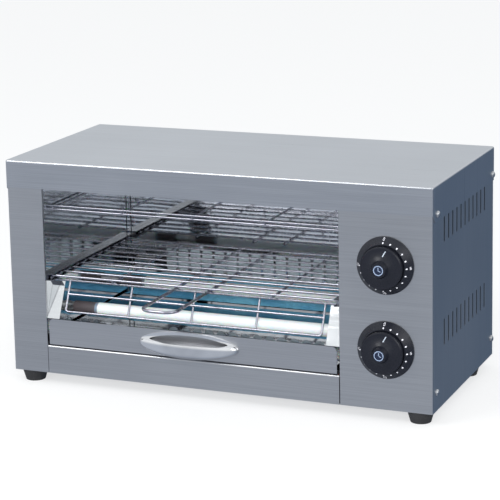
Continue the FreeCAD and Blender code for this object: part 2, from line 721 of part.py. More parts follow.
def make_back_panel():
    """Back wall with two rows of upright slots, screw holes and the cable gland's hole."""
    body = new_body("back_panel")
    face = new_sketch(body, "back_face", "XZ_Plane", -body_back)
    rectangle(face, -body_half, pan, body_half, panel_top)
    pad(body, face, "back_pad", d.panel_wall)
    holes = new_sketch(body, "back_holes", "XZ_Plane", -body_back)
    hole(holes, inlet_x, pan + d.inlet_high, d.gland_thread_r + d.hole_play)
    for x in (-back_screw_x, back_screw_x):
        for z in BACK_SCREW_HEIGHTS:
            hole(holes, x, z, d.screw_r + d.hole_play)
    pocket(body, holes, "back_holes_cut", d.panel_wall * 3, midplane=True)
    vents = new_sketch(body, "back_vents", "XZ_Plane", -body_back)
    span = d.vent_pitch * (d.vent_count * 2 - 1)
    for low in (d.back_vent_low, d.vent_top):
        slot(vents, middle - span / 2, pan + low, pan + low + d.vent_high, d.vent_wide)
    cut_vents = pocket(body, vents, "back_vents_cut", d.panel_wall * 3, midplane=True)
    repeat(body, cut_vents, "back_vent_row", "X_Axis", span, d.vent_count * 2)
    return keep(body, "back_panel")


# Toasting chamber

def make_liner_side(name, side):
    """Polished side wall of the chamber, with holes for the tubes' studs. side is -1 or 1."""
    body = new_body(name)
    face = open_left if side < 0 else open_right
    wall = new_sketch(body, f"{name}_face", "YZ_Plane", face)
    front = body_front + d.edge_return + d.seat_gap
    rear = d.liner_deep - d.liner_flange - d.liner_slit
    rectangle(wall, front, pan_floor + d.seat_gap, rear, pan + d.liner_high + d.liner_wall)
    pad(body, wall, f"{name}_pad", d.liner_wall, reverse=side < 0)
    holes = new_sketch(body, f"{name}_stud_holes", "YZ_Plane", face)
    for y, z in TUBE_SPOTS.values():
        hole(holes, y, z, d.stud_r + d.hole_play)
    pocket(body, holes, f"{name}_stud_holes_cut", d.liner_wall * 3, midplane=True)
    return keep(body, name)


def make_liner_back():
    """Polished back wall of the chamber with side flanges and one row of wide upright slots."""
    body = new_body("inner_back_wall")
    front = d.liner_deep - d.liner_flange
    face = d.liner_deep + d.seat_gap
    rear = face + d.liner_wall
    plan = new_sketch(body, "liner_back_plan", "XY_Plane", pan_floor + d.seat_gap)
    outline(plan, [(open_left - d.liner_wall, front), (open_left, front), (open_left, face),
                   (open_right, face), (open_right, front), (open_right + d.liner_wall, front),
                   (open_right + d.liner_wall, rear), (open_left - d.liner_wall, rear)])
    pad(body, plan, "liner_back_pad", pan + d.liner_high + d.liner_wall - pan_floor - d.seat_gap)
    vents = new_sketch(body, "liner_back_vents", "XZ_Plane", -(d.liner_deep + d.seat_gap))
    span = d.liner_pitch * (d.liner_slot_count - 1)
    slot(vents, middle - span / 2, pan + d.liner_slot_low, pan + d.liner_slot_low + d.liner_slot_high,
         d.liner_slot_wide)
    cut_vents = pocket(body, vents, "liner_back_vents_cut", d.liner_wall * 3, midplane=True)
    repeat(body, cut_vents, "liner_back_vent_row", "X_Axis", span, d.liner_slot_count)
    return keep(body, "inner_back_wall")


def make_ceiling():
    plate = block("ceiling_reflector", open_left + d.seat_gap, inside_front + d.seat_gap,
                  pan + d.liner_high, half_open * 2 - d.seat_gap * 2,
                  d.liner_deep - inside_front - d.seat_gap * 2, d.liner_wall)
    return keep(plate, "ceiling_reflector")


def make_rear_reflector():
    """Low upright sheet before the chamber's back wall, just above the crumb tray's rear rim."""
    plate = block("rear_reflector", open_left + d.seat_gap, d.liner_deep - d.liner_wall, pan + d.film_low,
                  half_open * 2 - d.seat_gap * 2, d.liner_wall, d.film_high)
    return keep(plate, "rear_reflector")


def make_rack_runner(name, side):
    """Channel on the side wall in which the rack slides. side is -1 or 1."""
    body = new_body(name)
    wall = middle + (half_open - d.seat_gap) * side
    web = wall - d.rail_wall * side
    tip = wall - d.runner_wide * side
    low = cross_z - d.rack_wire_r - d.runner_play
    high = rack_z + d.rack_wire_r + d.runner_room
    section = new_sketch(body, f"{name}_section", "XZ_Plane", -d.runner_front)
    outline(section, [(wall, low - d.rail_wall), (tip, low - d.rail_wall), (tip, low), (web, low),
                      (web, high), (tip, high), (tip, high + d.rail_wall), (wall, high + d.rail_wall)])
    pad(body, section, f"{name}_pad", d.liner_deep - d.runner_rear_room - d.runner_front, reverse=True)
    return keep(body, name)


def make_tray_runner(name, side):
    """Angle on the side wall that carries the crumb tray. side is -1 or 1."""
    body = new_body(name)
    wall = middle + (half_open - d.seat_gap) * side
    web = wall - d.rail_wall * side
    tip = wall - d.tray_ledge * side
    ledge = tray_bottom - d.tray_play
    section = new_sketch(body, f"{name}_section", "XZ_Plane", -(body_front + d.strip_fold + d.seat_gap))
    outline(section, [(wall, ledge - d.tray_ledge), (web, ledge - d.tray_ledge),
                      (web, ledge - d.rail_wall), (tip, ledge - d.rail_wall), (tip, ledge), (wall, ledge)])
    length = d.liner_deep - d.runner_rear_room - body_front - d.strip_fold
    pad(body, section, f"{name}_pad", length, reverse=True)
    return keep(body, name)


def make_lower_guard():
    """Leaning wire guard before the lower tubes, built upright and leaned back as a whole."""
    reach = guard_half
    r = d.guard_wire_r
    corner = d.guard_bend
    pieces = [rod("guard_top_wire", "x", middle - half_open + d.runner_play, 0.0, d.guard_rise, r,
                  half_open * 2 - d.runner_play * 2, True),
              rod("guard_middle_wire", "x", middle - reach, 0.0, d.guard_middle, r, reach * 2, True),
              rod("guard_low_wire", "x", middle - reach + corner, 0.0, 0.0, r, (reach - corner) * 2, True)]
    depth = r * 2 - d.weld_sink
    for index in (-1, 0, 1):
        pieces.append(rod(f"guard_upright_{index + 2}", "z", middle + guard_half / 2 * index, depth, 0.0, r,
                          d.guard_rise, True))
    for side, turn in ((-1, 180), (1, 270)):
        x = middle + reach * side
        label = "left" if side < 0 else "right"
        pieces.append(rod(f"guard_end_{label}", "z", x, 0.0, corner, r, d.guard_rise - corner, True))
        upright = FreeCAD.Rotation(FreeCAD.Vector(1, 0, 0), 90)
        spun = FreeCAD.Rotation(FreeCAD.Vector(0, 1, 0), -turn)
        pieces.append(bend(f"guard_corner_{label}", x - corner * side, 0.0, corner, corner, r, 90.0,
                           spun.multiply(upright), True))
    guard = fuse("lower_guard", pieces)
    lean(guard, d.guard_low_y, pan + d.guard_low_z, d.guard_tilt)
    return keep(guard, "lower_guard")


def make_cheek(name, side):
    """Leaning polished plate between the lower guard and a side wall, with a fold along the wall."""
    wall = half_open - d.seat_gap
    plate_x = middle + wall * side - (d.cheek_wide if side > 0 else 0.0)
    fold_x = middle + wall * side - (d.liner_wall if side > 0 else 0.0)
    low = -d.cheek_drop
    length = d.cheek_drop + d.guard_rise - d.guard_wire_r - d.seat_gap * 2
    plate = block(f"{name}_plate", plate_x, 0.0, low, d.cheek_wide, d.liner_wall, length, True)
    fold = block(f"{name}_fold", fold_x, 0.0, low, d.liner_wall, d.cheek_fold, length, True)
    cheek = fuse(name, [plate, fold])
    lean(cheek, d.guard_low_y, pan + d.guard_low_z, d.guard_tilt)
    return keep(cheek, name)


def make_upper_guard():
    """Level wire guard under the upper tubes: five rods held between pairs of cross wires."""
    r = d.upper_guard_r
    offset = r * 2 - d.weld_sink
    z = pan + d.upper_guard_z
    pieces = []
    for label, y in (("front", d.upper_guard_y), ("rear", d.upper_guard_rear)):
        for level, rise in (("high", offset), ("low", -offset)):
            pieces.append(rod(f"upper_guard_{label}_{level}", "x", middle - half_open + d.runner_play, y,
                              z + rise, r, half_open * 2 - d.runner_play * 2))
    for index in (-2, -1, 0, 1, 2):
        pieces.append(rod(f"upper_guard_rod_{index + 3}", "y", middle + upper_guard_half / 2 * index,
                          d.upper_guard_y - r * 2, z, r, d.upper_guard_rear - d.upper_guard_y + r * 4))
    return keep(fuse("upper_guard", pieces), "upper_guard")


# Heating tubes

TUBE_SPOTS = {
    "lower_front": (d.tube_front, pan + d.tube_low),
    "lower_rear": (d.tube_rear, pan + d.tube_low),
    "upper_front": (d.tube_front, pan + d.tube_high),
    "upper_rear": (d.tube_rear, pan + d.tube_high),
}


def make_tubes():
    """Quartz tubes with their coils, ceramic ends and terminal studs."""
    coils = []
    caps = []
    studs = []
    tube_ends = (
        ("left", -1, "-x", tube_left, d.cap_long, d.sleeve_long),
        ("right", 1, "x", tube_right, d.cap_short, d.sleeve_short),
    )
    tube_long = tube_right - tube_left
    coil_left = tube_left + d.plug_long + d.seat_gap
    coil_long = tube_long - (d.plug_long + d.seat_gap) * 2
    for label, (y, z) in TUBE_SPOTS.items():
        shell = rod(f"{label}_tube_outside", "x", tube_left, y, z, d.tube_r, tube_long)
        bore = rod(f"{label}_tube_bore", "x", tube_left, y, z, d.tube_bore_r, tube_long)
        keep(cut(f"quartz_tube_{label}", shell, bore), f"quartz_tube_{label}")
        winding = rod(f"{label}_coil_outside", "x", coil_left, y, z, d.coil_r, coil_long)
        core = rod(f"{label}_coil_core", "x", coil_left, y, z, d.coil_bore_r, coil_long)
        coils.append(cut(f"{label}_coil", winding, core))
        for end_name, side, axis, tube_end, cap_long, sleeve_long in tube_ends:
            tag = f"{label}_{end_name}"
            face = tube_end + d.seat_gap / 2 * side
            outer = rod(f"{tag}_cap", axis, face, y, z, d.cap_r, cap_long - d.seat_gap / 2)
            plug = rod(f"{tag}_plug", axis, face - d.plug_long * side, y, z, d.tube_bore_r - d.tube_fit,
                       d.plug_long * 2)
            end = tube_end + cap_long * side
            socket = rod(f"{tag}_socket", axis, end - d.stud_sink * side, y, z, d.stud_r + d.hole_play,
                         d.stud_sink * 2)
            caps.append(cut(f"{tag}_ceramic", fuse(f"{tag}_ceramic_body", [outer, plug]), socket))
            reach = d.stud_sink + sleeve_long + d.seat_gap + d.liner_wall + d.stud_out
            stud = rod(f"{tag}_stud", axis, end - (d.stud_sink - d.seat_gap) * side, y, z, d.stud_r,
                       reach - d.seat_gap)
            sleeve = rod(f"{tag}_sleeve", axis, end + d.seat_gap / 2 * side, y, z, d.sleeve_r,
                         sleeve_long - d.seat_gap / 2)
            nut = rod(f"{tag}_nut", axis, middle + (half_open + d.liner_wall + d.seat_gap) * side, y, z,
                      d.nut_r, d.nut_high)
            studs.append(fuse(f"{tag}_terminal", [stud, sleeve, nut]))
    group("heating_coils", coils)
    group("ceramic_ends", caps)
    group("terminal_studs", studs)


# Rack

def make_rack():
    """Long wires across the chamber, welded on two cross wires and two side wires."""
    r = d.rack_wire_r
    pieces = []
    for index in range(int(d.rack_wires.number)):
        y = d.rack_front + d.rack_pitch * index
        pieces.append(rod(f"rack_long_{index + 1}", "x", middle - rack_half, y, rack_z, r, rack_half * 2))
    for index, step in enumerate((-rack_half, -d.cross_step, d.cross_step, rack_half)):
        pieces.append(rod(f"rack_cross_{index + 1}", "y", middle + step, d.rack_front - r * 2, cross_z, r,
                          rack_wire_end - d.rack_front + r * 2))
    return keep(fuse("rack_grid", pieces), "rack_grid")


def make_rack_handle():
    """Wire loop that reaches out of the opening, its legs under the long wires as far as the last one."""
    r = d.handle_r
    z = rack_z - d.rack_wire_r - r - d.seat_gap / 2
    front = -d.handle_reach
    leg_front = front + d.handle_bend
    pieces = [rod("handle_bar", "x", middle - d.handle_half + d.handle_bend, front, z, r,
                  (d.handle_half - d.handle_bend) * 2)]
    for side, turn in ((-1, 180), (1, 270)):
        label = "left" if side < 0 else "right"
        x = middle + d.handle_half * side
        pieces.append(rod(f"handle_leg_{label}", "y", x, leg_front, z, r, rack_wire_end - leg_front))
        pieces.append(bend(f"handle_corner_{label}", x - d.handle_bend * side, leg_front, z, d.handle_bend,
                           r, 90.0, FreeCAD.Rotation(FreeCAD.Vector(0, 0, 1), turn)))
    return keep(fuse("rack_handle", pieces), "rack_handle")


# Crumb tray

tray_left = open_left + d.tray_gap
tray_right = open_right - d.tray_gap


def make_crumb_tray():
    """Shallow tray folded from one sheet, with a low rear rim and a taller front with round corners."""
    body = new_body("crumb_tray")
    base = new_sketch(body, "tray_base", "XY_Plane", tray_bottom)
    rectangle(base, tray_left, body_front, tray_right, d.tray_deep)
    pad(body, base, "tray_block", d.tray_lip)
    room = new_sketch(body, "tray_room", "XY_Plane", tray_bottom + d.tray_wall)
    rectangle(room, tray_left + d.tray_wall, body_front + d.tray_wall, tray_right - d.tray_wall,
              d.tray_deep - d.tray_wall)
    pocket(body, room, "tray_hollow", d.tray_lip, reverse=True)
    rear = new_sketch(body, "tray_rear_room", "XY_Plane", tray_bottom + d.tray_rear_lip)
    rectangle(rear, tray_left + d.tray_wall, d.tray_deep - d.tray_wall * 2, tray_right - d.tray_wall,
              d.tray_deep + d.tray_wall)
    pocket(body, rear, "tray_rear_cut", d.tray_lip, reverse=True)
    face = new_sketch(body, "tray_front", "XZ_Plane", -body_front)
    rectangle(face, tray_left, tray_bottom, tray_right, tray_bottom + d.tray_front_high)
    pad(body, face, "tray_front_pad", d.tray_wall, reverse=True)
    soften(body, "tray_front_corners", d.tray_corner,
           lambda spot, way: near(abs(way.y), 1) and near(spot.z, tray_bottom + d.tray_front_high))
    holes = new_sketch(body, "tray_screw_holes", "XZ_Plane", -body_front)
    for step in (-pull_screw_step, pull_screw_step):
        hole(holes, middle + step, pull_z, d.timer_screw_r + d.hole_play)
    pocket(body, holes, "tray_screw_holes_cut", d.tray_wall * 3, midplane=True)
    return keep(body, "crumb_tray")


pull_z = tray_bottom + d.tray_front_high - d.pull_half_high


def ellipsoid(name, x, y, z, half_x, half_y, half_z):
    ball = doc.addObject("Part::Ellipsoid", name)
    for side, size in (("Radius1", half_z), ("Radius2", half_x), ("Radius3", half_y)):
        setattr(ball, side, value(size))
        bind(ball, side, size)
    ball.Angle1 = -90.0
    ball.Angle2 = 90.0
    return place(ball, x, y, z)


def make_tray_pull():
    """Cup pull: an oval rim on the tray's front with a round shell below, open at the top."""
    face = body_front
    outer = ellipsoid("pull_outside", middle, face, pull_z, d.pull_half, d.pull_reach, d.pull_half_high)
    inner = ellipsoid("pull_inside", middle, face, pull_z, d.pull_half - d.pull_rim,
                      d.pull_reach - d.pull_wall, d.pull_half_high - d.pull_rim_high)
    shell = cut("pull_shell", outer, inner)
    left = middle - d.pull_half - d.pull_wall
    wide = (d.pull_half + d.pull_wall) * 2
    depth = d.pull_reach + d.pull_wall
    behind = block("pull_behind", left, face, pull_z - d.pull_half_high - d.pull_wall, wide, depth,
                   (d.pull_half_high + d.pull_wall) * 2)
    mouth = block("pull_mouth_room", left, face - depth - d.pull_wall, pull_z + d.pull_mouth, wide, depth,
                  d.pull_half_high)
    cup = cut("pull_cup", cut("pull_front", shell, behind), mouth)
    tabs = []
    for side in (-1, 1):
        tab_middle = middle + pull_screw_step * side
        tabs.append(block(f"pull_tab_{side + 2}", tab_middle - d.pull_tab_wide / 2, face - d.pull_wall,
                          pull_z - d.pull_tab_high / 2, d.pull_tab_wide, d.pull_wall, d.pull_tab_high))
    whole = fuse("pull_body", [cup] + tabs)
    holes = [rod(f"pull_hole_{side + 2}", "-y", middle + pull_screw_step * side, face + d.pull_wall,
                 pull_z, d.timer_screw_r, d.pull_wall + d.pull_hole) for side in (-1, 1)]
    return keep(cut("tray_pull", whole, fuse("pull_holes", holes)), "tray_pull")


def make_pull_screws():
    """Screws from inside the tray into the pull."""
    screws = []
    inside = body_front + d.tray_wall
    for side in (-1, 1):
        x = middle + pull_screw_step * side
        head = rod(f"pull_screw_head_{side + 2}", "y", x, inside + d.seat_gap / 2, pull_z, d.timer_head_r,
                   d.timer_head_high)
        shank = rod(f"pull_screw_shank_{side + 2}", "-y", x, inside + d.seat_gap, pull_z,
                    d.timer_screw_r - d.hole_play, d.tray_wall + d.pull_hole - d.seat_gap)
        screws.append(fuse(f"pull_screw_{side + 2}", [head, shank]))
    group("pull_screws", screws)


# Timers

def make_dial(name, z):
    """Fixed dial: a cone with a flat floor behind the knob. Heights are counted from the panel."""
    body = new_body(name, knob_x, body_front, z)
    inner = d.knob_r + d.knob_gap
    half = new_sketch(body, f"{name}_half", "XY_Plane")
    outline(half, [(d.panel_hole_r, 0.0), (d.panel_hole_r, -d.dial_floor), (inner, -d.dial_floor),
                   (inner, -d.dial_high), (inner + d.dial_land, -d.dial_high),
                   (d.dial_r, -d.dial_edge), (d.dial_r, 0.0)])
    spin(body, half, f"{name}_turned", "Y_Axis")
    holes = new_sketch(body, f"{name}_screw_holes", "XZ_Plane")
    for step in (-d.timer_screw_step, d.timer_screw_step):
        hole(holes, step, 0.0, d.timer_screw_r + d.hole_play)
    pocket(body, holes, f"{name}_screw_holes_cut", d.dial_high * 2, midplane=True)
    recess = new_sketch(body, f"{name}_recess", "XZ_Plane", d.dial_floor)
    for step in (-d.timer_screw_step, d.timer_screw_step):
        hole(recess, step, 0.0, d.timer_head_r + d.hole_play)
    pocket(body, recess, f"{name}_recess_cut", d.timer_head_high)
    return keep(body, name)


def make_knob(name, z):
    """Turned knob: a straight rim, a hollow face and a narrow hub with a seat for the cap."""
    body = new_body(name, knob_x, body_front, z)
    bore = d.shaft_r + d.shaft_play
    base = d.dial_floor + d.knob_gap
    seat = d.knob_high - d.cap_disc_high
    cap_r = d.cap_disc_r + d.shaft_play
    half = new_sketch(body, f"{name}_half", "XY_Plane")
    shoulder = d.knob_rim_high - d.dial_land
    outline(half, [(bore, -base), (bore, -seat), (cap_r, -seat), (cap_r, -d.knob_high),
                   (d.hub_r, -d.knob_high),
                   (d.hub_foot_r, -(d.knob_high - d.hub_foot_r / 2), -d.dish_arc),
                   (d.knob_r - d.dial_land, -d.knob_rim_high), (d.knob_r, -shoulder),
                   (d.knob_r, -base)])
    spin(body, half, f"{name}_turned", "Y_Axis")
    return keep(body, name)


def make_knob_cap(name, z):
    disc = rod(name, "-y", knob_x, body_front - d.knob_high + d.cap_disc_high, z, d.cap_disc_r,
               d.cap_disc_high)
    return keep(disc, name)


def make_shaft(name, z):
    """Timer shaft with a flat along the length that the knob holds."""
    rear = inside_front + d.shaft_sink
    length = d.knob_high - d.cap_disc_high - d.seat_gap + d.front_wall + d.shaft_sink
    bar = rod(f"{name}_round", "-y", knob_x, rear, z, d.shaft_r, length)
    flat_long = d.knob_high - d.cap_disc_high - d.dial_floor
    side = block(f"{name}_flat", knob_x - d.shaft_r, body_front - d.knob_high, z + d.shaft_flat,
                 d.shaft_r * 2, flat_long, d.shaft_r)
    return keep(cut(name, bar, side), name)


def make_timer(name, z):
    """Clockwork timer behind the panel: mounting plate, case with a shaft bore, four terminal tabs."""
    body = new_body(name, knob_x, inside_front + d.seat_gap, z)
    half = d.timer_wide / 2
    plate_half = d.timer_plate_wide / 2
    plate = new_sketch(body, f"{name}_plate", "XZ_Plane")
    rectangle(plate, -plate_half, -half, plate_half, half)
    pad(body, plate, f"{name}_plate_pad", d.timer_plate, reverse=True)
    case = new_sketch(body, f"{name}_case", "XZ_Plane")
    hole(case, 0.0, 0.0, half)
    pad(body, case, f"{name}_case_pad", d.timer_deep, reverse=True)
    tabs = new_sketch(body, f"{name}_tabs", "XZ_Plane", -d.timer_deep)
    tab = d.tab_wide / 2
    for x in (-half / 2, half / 2):
        for y in (-half / 2, half / 2):
            rectangle(tabs, x - tab, y - d.rail_wall / 2, x + tab, y + d.rail_wall / 2)
    pad(body, tabs, f"{name}_tabs_pad", d.tab_wide, reverse=True)
    bore = new_sketch(body, f"{name}_bore", "XZ_Plane")
    hole(bore, 0.0, 0.0, d.shaft_r + d.shaft_play)
    pocket(body, bore, f"{name}_bore_cut", d.shaft_sink + d.seat_gap)
    screws = new_sketch(body, f"{name}_screw_holes", "XZ_Plane")
    for step in (-d.timer_screw_step, d.timer_screw_step):
        hole(screws, step, 0.0, d.timer_screw_r + d.hole_play)
    pocket(body, screws, f"{name}_screw_holes_cut", d.timer_screw_hole)
    return keep(body, name)


def make_timer_screws():
    """Two screws for each timer, from the dial's floor through the panel."""
    screws = []
    for label, z in (("upper", d.knob_top), ("lower", d.knob_low)):
        for side in (-1, 1):
            x = knob_x + d.timer_screw_step * side
            tag = f"timer_screw_{label}_{side + 2}"
            seat = body_front - d.dial_floor + d.timer_head_high - d.seat_gap / 2
            head = rod(f"{tag}_head", "-y", x, seat, pan + z, d.timer_head_r, d.timer_head_high)
            shank = rod(f"{tag}_shank", "y", x, seat - d.seat_gap, pan + z, d.timer_screw_r,
                        d.dial_floor + d.front_wall + d.timer_plate)
            screws.append(fuse(tag, [head, shank]))
    group("timer_screws", screws)


# Feet, screws, inlet and terminals

FOOT_SPOTS = [(x, y) for y in (d.foot_front, d.foot_rear)
              for x in (d.foot_side - half_wide, half_wide - d.foot_side)]
FOOT_NAMES = ("foot_front_left", "foot_front_right", "foot_rear_left", "foot_rear_right")

back_screw_x = body_half - d.rear_fold / 2
BACK_SCREW_HEIGHTS = (pan + d.back_screw_low, pan + d.back_screw_middle, pan + d.back_screw_high)


def make_foot(name, x, y):
    """Tapered rubber foot with a recess for its screw."""
    body = new_body(name, x, y)
    half = new_sketch(body, f"{name}_half", "XZ_Plane")
    bore = d.foot_screw_r + d.hole_play
    outline(half, [(d.foot_recess_r, 0.0), (d.foot_low_r, 0.0), (d.foot_top_r, d.feet_high),
                   (bore, d.feet_high), (bore, d.foot_recess), (d.foot_recess_r, d.foot_recess)])
    spin(body, half, f"{name}_turned", "Z_Axis")
    return keep(body, name)


def make_foot_screws():
    """Screw and nut for each foot."""
    screws = []
    for index, (x, y) in enumerate(FOOT_SPOTS, start=1):
        head_low = d.foot_recess - d.foot_head - d.seat_gap / 2
        head = rod(f"foot_screw_head_{index}", "z", x, y, head_low, d.foot_head_r, d.foot_head)
        shank = rod(f"foot_screw_shank_{index}", "z", x, y, head_low, d.foot_screw_r,
                    pan_floor - head_low + d.nut_high * 2)
        nut = rod(f"foot_screw_nut_{index}", "z", x, y, pan_floor + d.seat_gap / 2, d.nut_r, d.nut_high)
        screws.append(fuse(f"foot_screw_{index}", [head, shank, nut]))
    group("foot_screws", screws)


def casing_screw(name, x, y, z, axis, length):
    """Pan-head screw whose head stands out along axis from the seat at x, y, z."""
    turns = {"x": FreeCAD.Rotation(FreeCAD.Vector(0, 1, 0), 90),
             "-x": FreeCAD.Rotation(FreeCAD.Vector(0, 1, 0), -90),
             "y": FreeCAD.Rotation(FreeCAD.Vector(1, 0, 0), -90)}
    back = {"x": "-x", "-x": "x", "y": "-y"}
    head = doc.addObject("Part::Ellipsoid", f"{name}_head")
    for side, size in (("Radius1", d.screw_head), ("Radius2", d.screw_head_r), ("Radius3", d.screw_head_r)):
        setattr(head, side, value(size))
        bind(head, side, size)
    head.Angle1 = 0.0
    head.Angle2 = 90.0
    place(head, x, y, z, turns[axis])
    shank = rod(f"{name}_shank", back[axis], x, y, z, d.screw_r, length)
    return fuse(name, [head, shank])


def make_casing_screws():
    """Side screws: the upper ones sit on the lid's skirt, the lower ones on the side panels."""
    screws = []
    for side, axis in ((-1, "-x"), (1, "x")):
        for level, z, seat in (("high", d.screw_high, half_wide), ("low", d.screw_low, body_half)):
            for end, y in (("front", d.screw_front), ("rear", side_screw_rear)):
                x = (seat + d.seat_gap / 2) * side
                name = f"side_screw_{level}_{end}_{side + 2}"
                screws.append(casing_screw(name, x, y, pan + z, axis, d.screw_long))
    group("side_screws", screws)
    screws = []
    for side in (-1, 1):
        for index, z in enumerate(BACK_SCREW_HEIGHTS, start=1):
            screws.append(casing_screw(f"back_screw_{index}_{side + 2}", back_screw_x * side,
                                       body_back + d.seat_gap / 2, z, "y", d.screw_long / 2))
    group("back_screws", screws)


def make_gland():
    """Cable gland in the back panel, and its lock nut inside."""
    z = pan + d.inlet_high
    body = new_body("cable_gland", inlet_x, body_back, z)
    half = new_sketch(body, "gland_half", "XY_Plane")
    inside = -(d.panel_wall + d.gland_inside)
    shoulder = d.gland_reach / 2
    outline(half, [(d.gland_bore_r, inside), (d.gland_thread_r, inside), (d.gland_thread_r, 0.0),
                   (d.gland_flange_r, 0.0), (d.gland_flange_r, d.gland_flange),
                   (d.gland_flange_r - d.gland_taper, shoulder), (d.gland_tip_r, d.gland_reach),
                   (d.gland_bore_r, d.gland_reach)])
    spin(body, half, "gland_turned", "Y_Axis")
    keep(body, "cable_gland")
    nut_rear = body_back - d.panel_wall - d.seat_gap / 2
    ring = rod("gland_nut_outside", "-y", inlet_x, nut_rear, z, d.gland_nut_r, d.gland_nut)
    bore = rod("gland_nut_bore", "-y", inlet_x, nut_rear + d.gland_nut, z, d.gland_thread_r + d.shaft_play,
               d.gland_nut * 3)
    keep(cut("gland_nut", ring, bore), "gland_nut")


def make_terminal_block():
    """Terminal block on the pan, with wells for its four clamp screws."""
    x = knob_x - d.block_wide / 2
    y = d.tube_rear - d.block_deep / 2
    z = pan_floor + d.seat_gap / 2
    body = block("terminal_block_body", x, y, z, d.block_wide, d.block_deep, d.block_high)
    wells = []
    clamps = []
    for index in range(4):
        spot = knob_x + d.block_pitch * (index - 1.5)
        middle_y = d.tube_rear
        well_low = z + d.block_high / 2
        wells.append(rod(f"block_well_{index + 1}", "z", spot, middle_y, well_low, d.nut_r,
                         d.block_high))
        clamps.append(rod(f"block_clamp_{index + 1}", "z", spot, middle_y, well_low + d.seat_gap / 2,
                          d.nut_r - d.hole_play, d.nut_high))
    keep(cut("terminal_block", body, fuse("block_wells", wells)), "terminal_block")
    group("terminal_clamps", clamps)


make_base_pan()
make_left_post()
make_control_panel()
make_top_cover()
make_side_panel("left_side_panel", -1)
make_side_panel("right_side_panel", 1)
make_back_panel()
make_liner_side("inner_left_wall", -1)
make_liner_side("inner_right_wall", 1)
make_liner_back()
make_ceiling()
make_rear_reflector()
for runner_name, runner_side in (("left", -1), ("right", 1)):
    make_rack_runner(f"rack_runner_{runner_name}", runner_side)
    make_tray_runner(f"tray_runner_{runner_name}", runner_side)
    make_cheek(f"guard_cheek_{runner_name}", runner_side)
make_lower_guard()
make_upper_guard()
make_tubes()
make_rack()
make_rack_handle()
make_crumb_tray()
make_tray_pull()
make_pull_screws()
for timer_name, timer_z in (("upper", pan + d.knob_top), ("lower", pan + d.knob_low)):
    make_timer(f"timer_{timer_name}", timer_z)
    make_shaft(f"timer_shaft_{timer_name}", timer_z)
    make_dial(f"dial_{timer_name}", timer_z)
    make_knob(f"knob_{timer_name}", timer_z)
    make_knob_cap(f"knob_cap_{timer_name}", timer_z)
make_timer_screws()
for foot_name, (foot_x, foot_y) in zip(FOOT_NAMES, FOOT_SPOTS):
    make_foot(foot_name, foot_x, foot_y)
make_foot_screws()
make_casing_screws()
make_gland()
make_terminal_block()

doc.recompute()

for item in doc.Objects:
    if "Invalid" in item.State or "Error" in item.State:
        raise RuntimeError(f"{item.Label} failed: {item.State}")
for node in NODES:
    if node.Shape.isNull() or not node.Shape.isValid() or not node.Shape.Solids:
        raise RuntimeError(f"{node.Label} has no valid shape")
for node in NODES:
    node.Shape.exportStep(f"parts/{node.Label}.step")
print(f"{len(NODES)} nodes")
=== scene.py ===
"""Looks of a countertop bar toaster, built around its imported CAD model.

All lengths are metres in the model's own frame: +X to the right, +Y from the open front to the back, +Z up. The CAD
nodes keep their shapes and get their finishes here. What the real toaster carries beyond them, its print and its
wound wires, is made as surfaces worked out with numpy.
"""

from __future__ import annotations

import json
import logging
import math
from dataclasses import dataclass, field, replace
from enum import Enum
from typing import Any, Iterable, Sequence

import bpy
import numpy as np
from mathutils import Matrix, Vector

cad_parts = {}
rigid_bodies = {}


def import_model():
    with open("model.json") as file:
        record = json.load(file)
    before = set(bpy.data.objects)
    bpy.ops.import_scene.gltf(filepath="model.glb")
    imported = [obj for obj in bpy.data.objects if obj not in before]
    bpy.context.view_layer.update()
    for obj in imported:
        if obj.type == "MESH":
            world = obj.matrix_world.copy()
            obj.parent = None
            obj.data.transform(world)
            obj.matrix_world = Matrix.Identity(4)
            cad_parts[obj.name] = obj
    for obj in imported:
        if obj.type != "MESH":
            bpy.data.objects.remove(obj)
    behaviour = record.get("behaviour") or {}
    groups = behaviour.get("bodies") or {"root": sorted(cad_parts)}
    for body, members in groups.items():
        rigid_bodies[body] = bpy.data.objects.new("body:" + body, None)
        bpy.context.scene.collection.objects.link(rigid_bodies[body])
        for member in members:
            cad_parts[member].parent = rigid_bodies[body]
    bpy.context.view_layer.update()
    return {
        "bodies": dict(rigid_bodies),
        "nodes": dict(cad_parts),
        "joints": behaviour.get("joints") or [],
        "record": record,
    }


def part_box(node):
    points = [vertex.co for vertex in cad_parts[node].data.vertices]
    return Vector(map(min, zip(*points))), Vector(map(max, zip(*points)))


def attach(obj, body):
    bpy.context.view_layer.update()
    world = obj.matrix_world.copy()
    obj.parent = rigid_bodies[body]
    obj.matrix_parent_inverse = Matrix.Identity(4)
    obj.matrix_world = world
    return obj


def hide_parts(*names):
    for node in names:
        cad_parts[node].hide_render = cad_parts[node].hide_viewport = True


LOG = logging.getLogger("toaster")
Colour = tuple[float, float, float]
Point = tuple[float, float, float]
MM = 0.001


# Shapes


@dataclass
class Surface:
    """A mesh under construction: points, faces and, per face, whether it is shaded smooth."""

    points: np.ndarray
    faces: np.ndarray
    smooth: bool = True


def grid_faces(rows: int, columns: int, close_rows: bool, close_columns: bool) -> np.ndarray:
    """Quads between neighbouring points of a grid of rows by columns, wrapped round where it closes.

    Args:
        rows: Number of points along the first parameter.
        columns: Number of points along the second parameter.
        close_rows: Whether the last row joins the first.
        close_columns: Whether the last column joins the first.

    Returns:
        An array of point numbers, four per face.
    """
    i = np.arange(rows if close_rows else rows - 1)[:, None]
    j = np.arange(columns if close_columns else columns - 1)[None, :]
    a = i * columns + j
    b = i * columns + (j + 1) % columns
    c = ((i + 1) % rows) * columns + (j + 1) % columns
    e = ((i + 1) % rows) * columns + j
    return np.stack([a, b, c, e], axis=-1).reshape(-1, 4)


